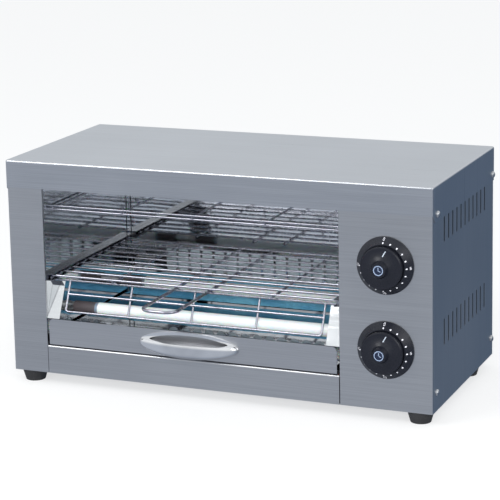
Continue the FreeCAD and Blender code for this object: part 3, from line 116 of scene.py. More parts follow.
def carried_tube(path: np.ndarray, radius: float, sides: int, across: np.ndarray) -> Surface:
    """A round section carried along a path.

    At each point of the path the tangent is the difference of its neighbours. The section's first axis is
    across with its part along the tangent taken away, the second is their cross product, and the section's
    points are path + radius (first cos angle + second sin angle).

    Args:
        path: Points of the centre line, one per row.
        radius: Radius of the section.
        sides: Number of points round the section.
        across: One direction, or one per path point, that is never along the path.

    Returns:
        The tube's surface, open at its ends.
    """
    tangent = np.gradient(path, axis=0)
    tangent /= np.linalg.norm(tangent, axis=1, keepdims=True)
    first = np.broadcast_to(across, path.shape) - tangent * np.sum(across * tangent, axis=1, keepdims=True)
    first = first / np.linalg.norm(first, axis=1, keepdims=True)
    second = np.cross(tangent, first)
    angle = np.linspace(0.0, 2.0 * math.pi, sides, endpoint=False)[None, :, None]
    ring = first[:, None, :] * np.cos(angle) + second[:, None, :] * np.sin(angle)
    points = path[:, None, :] + radius * ring
    return Surface(points.reshape(-1, 3), grid_faces(len(path), sides, False, True))


def joined(surfaces: Iterable[Surface]) -> Surface:
    """All surfaces as one, their points and faces put one after another."""
    parts = list(surfaces)
    starts = np.cumsum([0] + [len(part.points) for part in parts[:-1]])
    points = np.concatenate([part.points for part in parts])
    faces = np.concatenate([part.faces + start for part, start in zip(parts, starts)])
    return Surface(points, faces, parts[0].smooth)


def make_object(name: str, surface: Surface, material: bpy.types.Material) -> bpy.types.Object:
    """Puts a surface into a new mesh object at the origin.

    Args:
        name: Name of the object and its mesh.
        surface: Points and faces in the row frame.
        material: Finish of all its faces.

    Returns:
        The new object, linked to the scene.
    """
    mesh = bpy.data.meshes.new(name)
    mesh.from_pydata(surface.points.tolist(), [], surface.faces.tolist())
    mesh.polygons.foreach_set("use_smooth", np.full(len(surface.faces), surface.smooth))
    mesh.materials.append(material)
    mesh.update()
    made = bpy.data.objects.new(name, mesh)
    bpy.context.scene.collection.objects.link(made)
    return made


def place_piece(piece: bpy.types.Object, body: str, stands_for: Sequence[str] = ()) -> None:
    """Rides a piece on its body and hides the CAD nodes that it stands for."""
    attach(piece, body)
    if stands_for:
        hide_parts(*stands_for)
    LOG.info("piece %s: %d faces on %s", piece.name, len(piece.data.polygons), body)


# Materials


# Where nearly all of a noise's values lie
NOISE_SPAN = (0.3, 0.7)

SOCKETS = {
    "base_color": "Base Color",
    "metallic": "Metallic",
    "roughness": "Roughness",
    "ior": "IOR",
    "normal": "Normal",
    "specular": "Specular IOR Level",
    "subsurface": "Subsurface Weight",
    "subsurface_scale": "Subsurface Scale",
}


def shaded(colour: Colour, share: float) -> Colour:
    """The colour with its parts times share, none above 1."""
    return tuple(min(1.0, part * share) for part in colour)


class Nodes:
    """A node tree while it is put together, with short calls for what the finishes and the world share."""

    def __init__(self, tree: bpy.types.NodeTree) -> None:
        """Takes up the tree."""
        self.tree = tree

    def node(self, kind: str, **settings: Any) -> bpy.types.Node:
        """Adds a node of that kind and sets its properties."""
        made = self.tree.nodes.new(kind)
        for key, setting in settings.items():
            setattr(made, key, setting)
        return made

    def feed(self, socket: bpy.types.NodeSocket, source: Any) -> None:
        """Links source to the socket if it is a socket, or else sets it as the socket's value."""
        if isinstance(source, bpy.types.NodeSocket):
            self.tree.links.new(source, socket)
        elif isinstance(source, tuple) and len(source) == 3 and socket.type == "RGBA":
            socket.default_value = (*source, 1.0)
        else:
            socket.default_value = source

    def math(self, operation: str, first: Any, second: Any = 0.0) -> bpy.types.NodeSocket:
        """One arithmetic step on values or sockets."""
        step = self.node("ShaderNodeMath", operation=operation)
        for socket, source in zip(step.inputs, (first, second)):
            self.feed(socket, source)
        return step.outputs["Value"]

    def ramp(self, source: bpy.types.NodeSocket, low: float, high: float, to_low: float = 0.0,
             to_high: float = 1.0) -> bpy.types.NodeSocket:
        """Maps source from low..high to to_low..to_high by a smooth step, clamped."""
        step = self.node("ShaderNodeMapRange", interpolation_type="SMOOTHSTEP")
        self.feed(step.inputs["Value"], source)
        limits = {"From Min": low, "From Max": high, "To Min": to_low, "To Max": to_high}
        for key, number in limits.items():
            step.inputs[key].default_value = number
        return step.outputs["Result"]

    def mix(self, share: Any, first: Any, second: Any) -> bpy.types.NodeSocket:
        """Colour between first at share 0 and second at share 1."""
        step = self.node("ShaderNodeMix", data_type="RGBA")
        for socket, source in ((0, share), (6, first), (7, second)):
            self.feed(step.inputs[socket], source)
        return step.outputs[2]

    def blend(self, share: Any, first: Any, second: Any) -> bpy.types.NodeSocket:
        """Number between first at share 0 and second at share 1."""
        step = self.node("ShaderNodeMix", data_type="FLOAT")
        for socket, source in ((0, share), (2, first), (3, second)):
            self.feed(step.inputs[socket], source)
        return step.outputs[0]

    def axis(self, source: bpy.types.NodeSocket, name: str) -> bpy.types.NodeSocket:
        """The X, Y or Z part of a vector."""
        step = self.node("ShaderNodeSeparateXYZ")
        self.feed(step.inputs["Vector"], source)
        return step.outputs[name]


class Recipe(Nodes):
    """A material's nodes, with its output, its shader and the object's own coordinates at hand."""

    def __init__(self, material: bpy.types.Material) -> None:
        """Takes up a material that has one output, one shader and one set of coordinates."""
        super().__init__(material.node_tree)
        self.material = material
        kinds = {node.bl_idname: node for node in self.tree.nodes}
        self.output = kinds["ShaderNodeOutputMaterial"]
        self.shader = kinds["ShaderNodeBsdfPrincipled"]
        self.place = kinds["ShaderNodeTexCoord"]

    @classmethod
    def new(cls, name: str) -> Recipe:
        """Starts a new material of that name."""
        material = bpy.data.materials.new(name)
        material.use_nodes = True
        nodes = material.node_tree.nodes
        nodes.clear()
        output = nodes.new("ShaderNodeOutputMaterial")
        shader = nodes.new("ShaderNodeBsdfPrincipled")
        nodes.new("ShaderNodeTexCoord")
        material.node_tree.links.new(shader.outputs["BSDF"], output.inputs["Surface"])
        return cls(material)

    def set(self, **inputs: Any) -> None:
        """Feeds the shader's sockets, named in lower case with underscores."""
        for key, source in inputs.items():
            self.feed(self.shader.inputs[SOCKETS[key]], source)

    def noise(self, scale: Sequence[float], detail: float, roughness: float,
              distortion: float = 0.0) -> bpy.types.NodeSocket:
        """Noise on object coordinates, with its own scale per axis in cycles a metre.

        Args:
            scale: Cycles a metre along X, Y and Z.
            detail: Octaves of the noise.
            roughness: Strength of the finer octaves.
            distortion: How far the noise bends itself.

        Returns:
            The noise value, 0 to 1 about 0.5.
        """
        mapping = self.node("ShaderNodeMapping")
        self.feed(mapping.inputs["Vector"], self.place.outputs["Object"])
        mapping.inputs["Scale"].default_value = tuple(scale)
        noise = self.node("ShaderNodeTexNoise")
        self.feed(noise.inputs["Vector"], mapping.outputs["Vector"])
        settings = {"Scale": 1.0, "Detail": detail, "Roughness": roughness, "Distortion": distortion}
        for key, number in settings.items():
            noise.inputs[key].default_value = number
        return noise.outputs["Fac"]

    def bump(self, height: bpy.types.NodeSocket, depth: float, strength: float = 1.0) -> None:
        """Bends the shader's normal by a height field whose full range is depth metres."""
        step = self.node("ShaderNodeBump")
        step.inputs["Strength"].default_value = strength
        step.inputs["Distance"].default_value = depth
        self.feed(step.inputs["Height"], height)
        self.set(normal=step.outputs["Normal"])


@dataclass(frozen=True)
class BrushedSheet:
    """Stainless sheet with a brushed grain: level on front and top faces, upright on side faces."""

    name: str = "brushed_sheet"
    colour: Colour = (0.55, 0.555, 0.57)
    roughness: float = 0.33
    grain: float = 1300.0
    along: float = 9.0
    grain_depth: float = 0.000006

    def grain_height(self, recipe: Recipe) -> bpy.types.NodeSocket:
        """Stretched noise whose long way follows each face's grain."""
        level = recipe.noise((self.along, self.grain, self.grain), 3.0, 0.6)
        upright = recipe.noise((self.grain, self.grain, self.along), 3.0, 0.6)
        side = recipe.math("ABSOLUTE", recipe.axis(recipe.place.outputs["Normal"], "X"))
        return recipe.blend(recipe.ramp(side, 0.6, 0.8), level, upright)

    def make(self) -> bpy.types.Material:
        """Builds the material."""
        recipe = Recipe.new(self.name)
        grain = self.grain_height(recipe)
        cloud = recipe.noise((7.0, 7.0, 7.0), 3.0, 0.5)
        dark = shaded(self.colour, 0.90)
        light = shaded(self.colour, 1.08)
        tone = recipe.math("ADD", recipe.ramp(grain, *NOISE_SPAN, 0.15, 0.85),
                           recipe.ramp(cloud, *NOISE_SPAN, -0.12, 0.12))
        recipe.set(base_color=recipe.mix(tone, dark, light), metallic=1.0)
        gloss = recipe.math("ADD", recipe.ramp(grain, 0.25, 0.75, -0.04, 0.05),
                            recipe.ramp(cloud, *NOISE_SPAN, self.roughness - 0.02, self.roughness + 0.03))
        recipe.set(roughness=gloss)
        recipe.bump(grain, self.grain_depth)
        return recipe.material


@dataclass(frozen=True)
class BrightSheet:
    """Mirror-bright stainless sheet, a little wavy and faintly clouded from rolling."""

    name: str = "bright_sheet"
    colour: Colour = (0.86, 0.875, 0.89)
    roughness: float = 0.045
    wave_depth: float = 0.00004

    def make(self) -> bpy.types.Material:
        """Builds the material."""
        recipe = Recipe.new(self.name)
        cloud = recipe.noise((14.0, 14.0, 30.0), 4.0, 0.6)
        rolled = recipe.noise((5.0, 300.0, 300.0), 2.0, 0.5)
        wave = recipe.noise((38.0, 38.0, 38.0), 2.0, 0.55)
        dark = shaded(self.colour, 0.88)
        recipe.set(base_color=recipe.mix(recipe.ramp(cloud, *NOISE_SPAN), dark, self.colour), metallic=1.0)
        recipe.set(roughness=recipe.math("ADD", recipe.ramp(cloud, *NOISE_SPAN, 0.02, -0.01),
                                         recipe.ramp(rolled, *NOISE_SPAN, self.roughness - 0.02,
                                                     self.roughness + 0.02)))
        recipe.bump(wave, self.wave_depth)
        return recipe.material


@dataclass(frozen=True)
class FilmedSheet:
    """Bright sheet still under its blue protective film, with small bubbles and wrinkles."""

    name: str = "filmed_sheet"
    colour: Colour = (0.11, 0.42, 0.70)
    light: Colour = (0.24, 0.68, 0.92)
    roughness: float = 0.24
    wrinkle_depth: float = 0.1 * MM
    wrinkle_strength: float = 0.7

    def make(self) -> bpy.types.Material:
        """Builds the material."""
        recipe = Recipe.new(self.name)
        wrinkle = recipe.noise((60.0, 60.0, 160.0), 4.0, 0.6, 0.6)
        patch = recipe.noise((12.0, 12.0, 40.0), 3.0, 0.6)
        recipe.set(base_color=recipe.mix(recipe.ramp(patch, 0.38, 0.62), self.colour, self.light),
                   metallic=0.12)
        recipe.set(roughness=recipe.ramp(wrinkle, *NOISE_SPAN, self.roughness - 0.06, self.roughness + 0.12))
        recipe.bump(wrinkle, self.wrinkle_depth, self.wrinkle_strength)
        return recipe.material


@dataclass(frozen=True)
class TrayMetal:
    """Tray sheet: brushed on its front, bright behind it, told apart by how far back a point lies."""

    name: str = "tray_metal"
    colour: Colour = (0.585, 0.59, 0.61)
    front: float = 0.0
    half_sheet: float = 0.4 * MM
    wave_depth: float = 0.1 * MM

    def make(self) -> bpy.types.Material:
        """Builds the material."""
        recipe = Recipe.new(self.name)
        inside = recipe.ramp(recipe.axis(recipe.place.outputs["Object"], "Y"), self.front + self.half_sheet,
                             self.front + self.half_sheet * 2.0)
        grain = recipe.noise((9.0, 1300.0, 1300.0), 3.0, 0.6)
        crumb = recipe.noise((30.0, 30.0, 30.0), 4.0, 0.6)
        dark = shaded(self.colour, 0.88)
        recipe.set(base_color=recipe.mix(recipe.ramp(grain, *NOISE_SPAN), dark, self.colour), metallic=1.0)
        brushed = recipe.ramp(grain, 0.25, 0.75, 0.29, 0.38)
        bright = recipe.ramp(crumb, *NOISE_SPAN, 0.02, 0.05)
        recipe.set(roughness=recipe.blend(inside, brushed, bright))
        wave = recipe.noise((30.0, 30.0, 30.0), 2.0, 0.5)
        recipe.bump(recipe.math("MULTIPLY", wave, inside), self.wave_depth)
        return recipe.material


@dataclass(frozen=True)
class BackSheet(BrushedSheet):
    """The back panel's sheet: brushed outside, and pale blue-grey with its film on inside."""

    name: str = "back_sheet"
    inside_colour: Colour = (0.66, 0.76, 0.82)
    inner_face: float = 0.0

    def make(self) -> bpy.types.Material:
        """Builds the brushed sheet and tints what lies in front of the inner face."""
        material = super().make()
        recipe = Recipe(material)
        inside = recipe.ramp(recipe.axis(recipe.place.outputs["Object"], "Y"), self.inner_face,
                             self.inner_face + 0.2 * MM, 1.0, 0.0)
        outside_colour = recipe.shader.inputs["Base Color"].links[0].from_socket
        recipe.set(base_color=recipe.mix(inside, outside_colour, self.inside_colour),
                   metallic=recipe.math("SUBTRACT", 1.0, inside))
        return material


@dataclass(frozen=True)
class PlatedMetal:
    """Plated or plain metal, with a fine mottle in colour and gloss."""

    name: str
    colour: Colour
    roughness: float = 0.12
    mottle: float = 400.0
    depth: float = 0.00001

    def make(self) -> bpy.types.Material:
        """Builds the material."""
        recipe = Recipe.new(self.name)
        spot = recipe.noise((self.mottle, self.mottle, self.mottle), 3.0, 0.55)
        patch = recipe.noise((25.0, 25.0, 25.0), 2.0, 0.5)
        dark = shaded(self.colour, 0.82)
        recipe.set(base_color=recipe.mix(recipe.ramp(patch, 0.35, 0.65), dark, self.colour), metallic=1.0)
        recipe.set(roughness=recipe.ramp(spot, *NOISE_SPAN, self.roughness * 0.8, self.roughness * 1.3))
        recipe.bump(spot, self.depth)
        return recipe.material


@dataclass(frozen=True)
class MilkyQuartz:
    """Milky quartz: white and softly glossy, with drawn streaks along the tube and clearer, greyer ends."""

    name: str = "milky_quartz"
    colour: Colour = (0.95, 0.96, 0.97)
    end_colour: Colour = (0.22, 0.27, 0.34)
    middle: float = 0.0
    milky_half: float = 1.0
    fade: float = 1.2 * MM
    clear_end: float = 3.6 * MM
    streak_depth: float = 0.00002

    def make(self) -> bpy.types.Material:
        """Builds the material."""
        recipe = Recipe.new(self.name)
        streak = recipe.noise((8.0, 700.0, 700.0), 3.0, 0.6)
        cloud = recipe.noise((30.0, 90.0, 90.0), 3.0, 0.5)
        dark = shaded(self.colour, 0.93)
        tone = recipe.math("MULTIPLY", recipe.ramp(streak, *NOISE_SPAN, 0.6, 1.0),
                           recipe.ramp(cloud, *NOISE_SPAN, 0.75, 1.0))
        along = recipe.math("SUBTRACT", recipe.axis(recipe.place.outputs["Object"], "X"), self.middle)
        end = recipe.ramp(recipe.math("ABSOLUTE", along), self.milky_half, self.milky_half + self.fade)
        recipe.set(base_color=recipe.mix(end, recipe.mix(tone, dark, self.colour), self.end_colour),
                   subsurface=0.25, subsurface_scale=0.004, ior=1.46,
                   roughness=recipe.ramp(streak, *NOISE_SPAN, 0.18, 0.3))
        recipe.bump(streak, self.streak_depth)
        return recipe.material


@dataclass(frozen=True)
class Speckled:
    """A dull body with fine grain and darker or lighter specks, as ceramic, moulding or rubber has."""

    name: str
    colour: Colour
    speck: Colour
    roughness: float = 0.6
    grain: float = 900.0
    depth: float = 0.00003
    shine: float = 0.5

    def make(self) -> bpy.types.Material:
        """Builds the material."""
        recipe = Recipe.new(self.name)
        speck = recipe.noise((self.grain, self.grain, self.grain), 3.0, 0.6)
        cloud = recipe.noise((45.0, 45.0, 45.0), 2.0, 0.5)
        share = recipe.math("MULTIPLY", recipe.ramp(speck, 0.5, 0.72), 0.8)
        tone = recipe.mix(share, self.colour, self.speck)
        recipe.set(base_color=recipe.mix(recipe.ramp(cloud, *NOISE_SPAN, 0.0, 0.25), tone, self.speck))
        recipe.set(roughness=recipe.ramp(speck, *NOISE_SPAN, self.roughness - 0.06, self.roughness + 0.08),
                   specular=self.shine)
        recipe.bump(speck, self.depth)
        return recipe.material


@dataclass(frozen=True)
class Printed:
    """Screen-printed ink, slightly uneven in cover."""

    name: str
    colour: Colour
    worn: Colour

    def make(self) -> bpy.types.Material:
        """Builds the material."""
        recipe = Recipe.new(self.name)
        cover = recipe.noise((2500.0, 2500.0, 2500.0), 2.0, 0.6)
        recipe.set(base_color=recipe.mix(recipe.ramp(cover, 0.35, 0.5), self.worn, self.colour))
        recipe.set(roughness=recipe.ramp(cover, *NOISE_SPAN, 0.45, 0.6))
        return recipe.material


class Finish(Enum):
    """Every finish by the record's material slot that it gives its look."""

    SHEET_STEEL = BrushedSheet()
    POLISHED_LINER = BrightSheet()
    FILMED_REFLECTOR = FilmedSheet()
    CHROMED_WIRE = PlatedMetal("chromed_wire", (0.50, 0.50, 0.56), 0.22)
    MILKY_QUARTZ = MilkyQuartz()
    COIL_WIRE = PlatedMetal("coil_wire", (0.36, 0.33, 0.31), 0.4)
    CERAMIC_BODY = Speckled("ceramic_body", (0.085, 0.075, 0.08), (0.12, 0.09, 0.095), 0.55)
    PLAIN_STEEL = PlatedMetal("plain_steel", (0.62, 0.62, 0.62), 0.32)
    POLISHED_TRAY = TrayMetal()
    CHROMED_PULL = PlatedMetal("chromed_pull", (0.88, 0.88, 0.89), 0.09, 250.0, 0.000004)
    TIMER_CASE = Speckled("timer_case", (0.72, 0.70, 0.62), (0.62, 0.60, 0.52), 0.5)
    BLACK_DIAL = Speckled("black_dial", (0.007, 0.008, 0.013), (0.016, 0.017, 0.025), roughness=0.3,
                          grain=1800.0, depth=0.00001, shine=0.4)
    BLACK_KNOB = Speckled("black_knob", (0.007, 0.008, 0.013), (0.013, 0.014, 0.021), roughness=0.32,
                          grain=1500.0, depth=0.00001, shine=0.3)
    BLACK_CAP = Speckled("black_cap", (0.008, 0.014, 0.035), (0.013, 0.02, 0.045), roughness=0.22,
                         grain=1200.0, depth=0.000004, shine=0.4)
    BLACK_RUBBER = Speckled("black_rubber", (0.018, 0.018, 0.019), (0.04, 0.04, 0.042), 0.7, 800.0)
    SCREW_STEEL = PlatedMetal("screw_steel", (0.55, 0.56, 0.58), 0.28)
    GLAND_PLASTIC = Speckled("gland_plastic", (0.02, 0.02, 0.02), (0.04, 0.04, 0.04), 0.5)
    WHITE_PLASTIC = Speckled("white_plastic", (0.78, 0.78, 0.74), (0.68, 0.68, 0.64), 0.45)
    BRASS_CLAMP = PlatedMetal("brass_clamp", (0.72, 0.52, 0.24), 0.3)


@dataclass
class Palette:
    """The finishes as Blender materials, each made once."""

    made: dict[Finish, bpy.types.Material] = field(default_factory=dict)

    def of(self, finish: Finish) -> bpy.types.Material:
        """The material of a finish, made on first use and fitted to the pieces that it follows."""
        if finish not in self.made:
            sort = finish.value
            if finish is Finish.POLISHED_TRAY:
                sort = replace(sort, front=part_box("crumb_tray")[0][1])
            if finish is Finish.MILKY_QUARTZ:
                low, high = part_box("quartz_tube_lower_front")
                sort = replace(sort, middle=(low[0] + high[0]) / 2.0,
                               milky_half=(high[0] - low[0]) / 2.0 - sort.clear_end)
            self.made[finish] = sort.make()
        return self.made[finish]

    def special(self) -> dict[str, bpy.types.Material]:
        """Sheets that differ in tone from the others of their slot, by node: the lid's is partly painted light, the
        runners' is painted shade.
        """
        # The lid's sheet is lighter and bluer than the others: partly its own tone, partly painted light that sets
        # its lip apart from the panel under it, where a shade line falls.
        lid = BrushedSheet("lid_painted_light_sheet", (0.555, 0.57, 0.60))
        # The runners' near-black colour is painted shade: it stands in for the shadow and dark reflections on their
        # flanges.
        runner = BrushedSheet("runner_painted_shade_sheet", (0.20, 0.20, 0.22), 0.22, 500.0, 20.0)
        runner_painted_shade_material = runner.make()
        back = BackSheet(inner_face=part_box("back_panel")[0][1])
        return {"top_cover": lid.make(), "back_panel": back.make(),
                "rack_runner_left": runner_painted_shade_material, "rack_runner_right": runner_painted_shade_material}

    def dress_nodes(self, frame: dict[str, Any]) -> None:
        """Gives every CAD node the material of its slot in the record, or its own where it has one."""
        special = self.special()
        for part in frame["record"]["subparts"]:
            node = frame["nodes"][part["node"]]
            finish = Finish[part["material_slot"].upper()]
            node.data.materials.clear()
            node.data.materials.append(special.get(part["node"]) or self.of(finish))
        LOG.info("dressed %d CAD nodes", len(frame["nodes"]))


# Sub-assemblies


@dataclass
class Timer:
    """Marks of one timer: minute dots and numbers on its dial, a pointer on its knob, a clock on its cap."""

    label: str
    dial_inner: float = 22.1 * MM
    dial_outer: float = 28.2 * MM
    dial_edge: float = 1.2 * MM
    dial_high: float = 8.6 * MM
    dish_middle: tuple[float, float] = (18.28 * MM, 29.94 * MM)
    dish_arc: float = 16.0 * MM
    minute_step: float = math.radians(18.0)
    minutes: int = 15
    dot_circle: float = 23.3 * MM
    dot_radius: float = 0.7 * MM
    dot_rings: tuple[float, ...] = (0.02, 0.5, 1.0)
    dot_sides: int = 20
    number_circle: float = 26.1 * MM
    number_high: float = 2.7 * MM
    numeral_share: float = 0.7
    pointer_clock: float = math.radians(16.0)
    pointer_span: tuple[float, float] = (12.2 * MM, 17.9 * MM)
    pointer_half: float = 0.5 * MM
    pointer_lean: float = 18.0
    pointer_steps: tuple[int, int] = (12, 5)
    clock_ring: tuple[float, float] = (4.0 * MM, 4.8 * MM)
    ring_sides: int = 48
    hands: tuple[tuple[float, float], ...] = ((0.0, 3.0 * MM), (math.radians(115.0), 2.5 * MM))
    hand_half: float = 0.4 * MM
    ink: float = 0.06 * MM

    def __post_init__(self) -> None:
        """Reads the places of the dial and the cap from the frame."""
        low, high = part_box(f"dial_{self.label}")
        self.axis_x = (low[0] + high[0]) / 2.0
        self.axis_z = (low[2] + high[2]) / 2.0
        self.panel_y = high[1]
        self.cap_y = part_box(f"knob_cap_{self.label}")[0][1]

    @property
    def body(self) -> str:
        """The body that turns with this timer's knob."""
        return f"knob_{self.label}_turning"

    def cone_point(self, radius: np.ndarray, clock: np.ndarray) -> np.ndarray:
        """Points on the dial's cone, proud of it by the ink: height falls evenly from inner to outer edge.

        Args:
            radius: Distances from the axis.
            clock: Angles clockwise from twelve o'clock, in radians.

        Returns:
            One point per row.
        """
        share = np.clip((radius - self.dial_inner) / (self.dial_outer - self.dial_inner), 0.0, 1.0)
        high = self.dial_high + (self.dial_edge - self.dial_high) * share + self.ink
        return np.stack([self.axis_x + radius * np.sin(clock), self.panel_y - high,
                         self.axis_z + radius * np.cos(clock)], axis=-1)

    def wrap_on_cone(self, flat: np.ndarray, middle_radius: float, clock: float) -> np.ndarray:
        """Lays flat (right, up) points on the cone about one place, up pointing away from the axis."""
        return self.cone_point(middle_radius + flat[:, 1], clock + flat[:, 0] / middle_radius)

    def dot(self, clock: float) -> Surface:
        """A disc of ink on the cone, as rings of points between its middle and its edge."""
        turn = np.linspace(0.0, 2.0 * math.pi, self.dot_sides, endpoint=False)
        rings = np.array(self.dot_rings)[:, None] * self.dot_radius
        flat = np.stack([rings * np.cos(turn), rings * np.sin(turn)], axis=-1).reshape(-1, 2)
        faces = grid_faces(len(self.dot_rings), self.dot_sides, False, True)
        return Surface(self.wrap_on_cone(flat, self.dot_circle, clock), faces)

    def number(self, text: str, clock: float, ink: bpy.types.Material) -> bpy.types.Object:
        """A number upright on the cone: its flat outline is made a mesh, then each point is laid on the cone.

        Args:
            text: The number.
            clock: Angle of its middle clockwise from twelve o'clock, in radians.
            ink: Finish of the print.

        Returns:
            The number as a mesh object at the origin.
        """
        curve = bpy.data.curves.new("number", "FONT")
        curve.body = text
        curve.size = self.number_high / self.numeral_share
        curve.align_x, curve.align_y = "CENTER", "CENTER"
        outline = bpy.data.objects.new("number", curve)
        flat = bpy.data.meshes.new_from_object(outline)
        bpy.data.objects.remove(outline)
        bpy.data.curves.remove(curve)
        spots = np.empty(len(flat.vertices) * 3)
        flat.vertices.foreach_get("co", spots)
        right, up = spots.reshape(-1, 3)[:, 0], spots.reshape(-1, 3)[:, 1]
        across = self.number_circle * math.sin(clock) + right
        above = self.number_circle * math.cos(clock) + up
        laid = self.cone_point(np.hypot(across, above), np.arctan2(across, above))
        flat.vertices.foreach_set("co", laid.ravel())
        flat.materials.append(ink)
        flat.update()
        made = bpy.data.objects.new(f"dial_number_{text}_{self.label}", flat)
        bpy.context.scene.collection.objects.link(made)
        return made

    def build_print(self) -> None:
        """A dot for every minute and a number for every five, clockwise from the top of the dial."""
        ink = Printed(f"dial_ink_{self.label}", (0.80, 0.80, 0.86), (0.5, 0.5, 0.56)).make()
        dots = [self.dot(self.minute_step * minute) for minute in range(self.minutes + 1)]
        place_piece(make_object(f"dial_dots_{self.label}", joined(dots), ink), "casing")
        for minute in range(0, self.minutes + 1, 5):
            place_piece(self.number(str(minute), self.minute_step * minute, ink), "casing")

    def build_pointer(self) -> None:
        """A bar of ink on the knob's hollow face, whose height is the dish's circle at each radius."""
        rows, columns = self.pointer_steps
        radius = np.linspace(*self.pointer_span, rows)[:, None]
        across = np.linspace(-self.pointer_half, self.pointer_half, columns)[None, :]
        turn = self.pointer_clock + self.pointer_lean * (radius - self.pointer_span[1]) + across / radius
        middle_radius, middle_high = self.dish_middle
        high = middle_high - np.sqrt(self.dish_arc ** 2 - (radius - middle_radius) ** 2) + self.ink
        depth = np.broadcast_to(self.panel_y - high, turn.shape)
        points = np.stack([self.axis_x + radius * np.sin(turn), depth,
                           self.axis_z + radius * np.cos(turn)], axis=-1).reshape(-1, 3)
        ink = Printed(f"pointer_ink_{self.label}", (0.42, 0.47, 0.54), (0.26, 0.3, 0.36)).make()
        faces = grid_faces(rows, columns, False, False)
        bar = make_object(f"knob_pointer_{self.label}", Surface(points, faces), ink)
        place_piece(bar, self.body)

    def build_clock_sign(self) -> None:
        """A plain clock face on the cap: a ring and two hands, flat and proud by the ink."""
        turn = np.linspace(0.0, 2.0 * math.pi, self.ring_sides, endpoint=False)[None, :]
        rings = np.array(self.clock_ring)[:, None]
        ring = np.stack([rings * np.sin(turn), rings * np.cos(turn)], axis=-1).reshape(-1, 2)
        faces = [grid_faces(2, self.ring_sides, False, True)]
        spots = [ring]
        half = self.hand_half
        for clock, length in self.hands:
            along = np.array([math.sin(clock), math.cos(clock)])
            side = np.array([along[1], -along[0]])
            corners = ((-half, -half), (half, -half), (half, length), (-half, length))
            faces.append(np.array([[0, 1, 2, 3]]) + sum(len(part) for part in spots))
            spots.append(np.array([side * right + along * up for right, up in corners]))
        flat = np.concatenate(spots)
        points = np.stack([self.axis_x + flat[:, 0], np.full(len(flat), self.cap_y - self.ink),
                           self.axis_z + flat[:, 1]], axis=-1)
        ink = Printed(f"clock_ink_{self.label}", (0.26, 0.33, 0.46), (0.19, 0.24, 0.34)).make()
        sign = make_object(f"cap_clock_{self.label}", Surface(points, np.concatenate(faces), False), ink)
        place_piece(sign, self.body)

    def build(self) -> None:
        """Builds all marks of this timer."""
        self.build_print()
        self.build_pointer()
        self.build_clock_sign()


@dataclass
class HeatingTubes:
    """The wound resistance wires inside the four quartz tubes."""

    tubes: tuple[str, ...] = ("lower_front", "lower_rear", "upper_front", "upper_rear")
    coil_radius: float = 2.85 * MM
    wire_radius: float = 0.32 * MM
    pitch: float = 1.9 * MM
    steps: int = 14
    sides: int = 5

    def helix(self, tube: str) -> Surface:
        """A wire wound evenly about a tube's axis.

        The centre line is (x, y + R cos t, z + R sin t) while x runs evenly from left to right and t grows
        by one full turn a pitch.

        Args:
            tube: Which of the four tubes.

        Returns:
            The winding as a carried tube.
        """
        tube_low, tube_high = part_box(f"quartz_tube_{tube}")
        coil_low, coil_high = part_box("heating_coils")
        y, z = (tube_low[1] + tube_high[1]) / 2.0, (tube_low[2] + tube_high[2]) / 2.0
        left, right = coil_low[0], coil_high[0]
        turns = (right - left) / self.pitch
        t = np.linspace(0.0, 2.0 * math.pi * turns, int(turns * self.steps))
        x = np.linspace(left, right, len(t))
        path = np.stack([x, y + self.coil_radius * np.cos(t), z + self.coil_radius * np.sin(t)], axis=-1)
        return carried_tube(path, self.wire_radius, self.sides, np.array([1.0, 0.0, 0.0]))

    def build(self, palette: Palette) -> None:
        """Winds the four coils and hides their plain stand-ins."""
        wound = joined(self.helix(tube) for tube in self.tubes)
        piece = make_object("wound_coils", wound, palette.of(Finish.COIL_WIRE))
        place_piece(piece, "casing", ["heating_coils"])


# Studio


@dataclass(frozen=True)
class Lamp:
    """A square soft box, aimed at the toaster, that metal mirrors or not."""

    name: str
    place: Point
    size: float
    power: float
    mirrored: bool = True


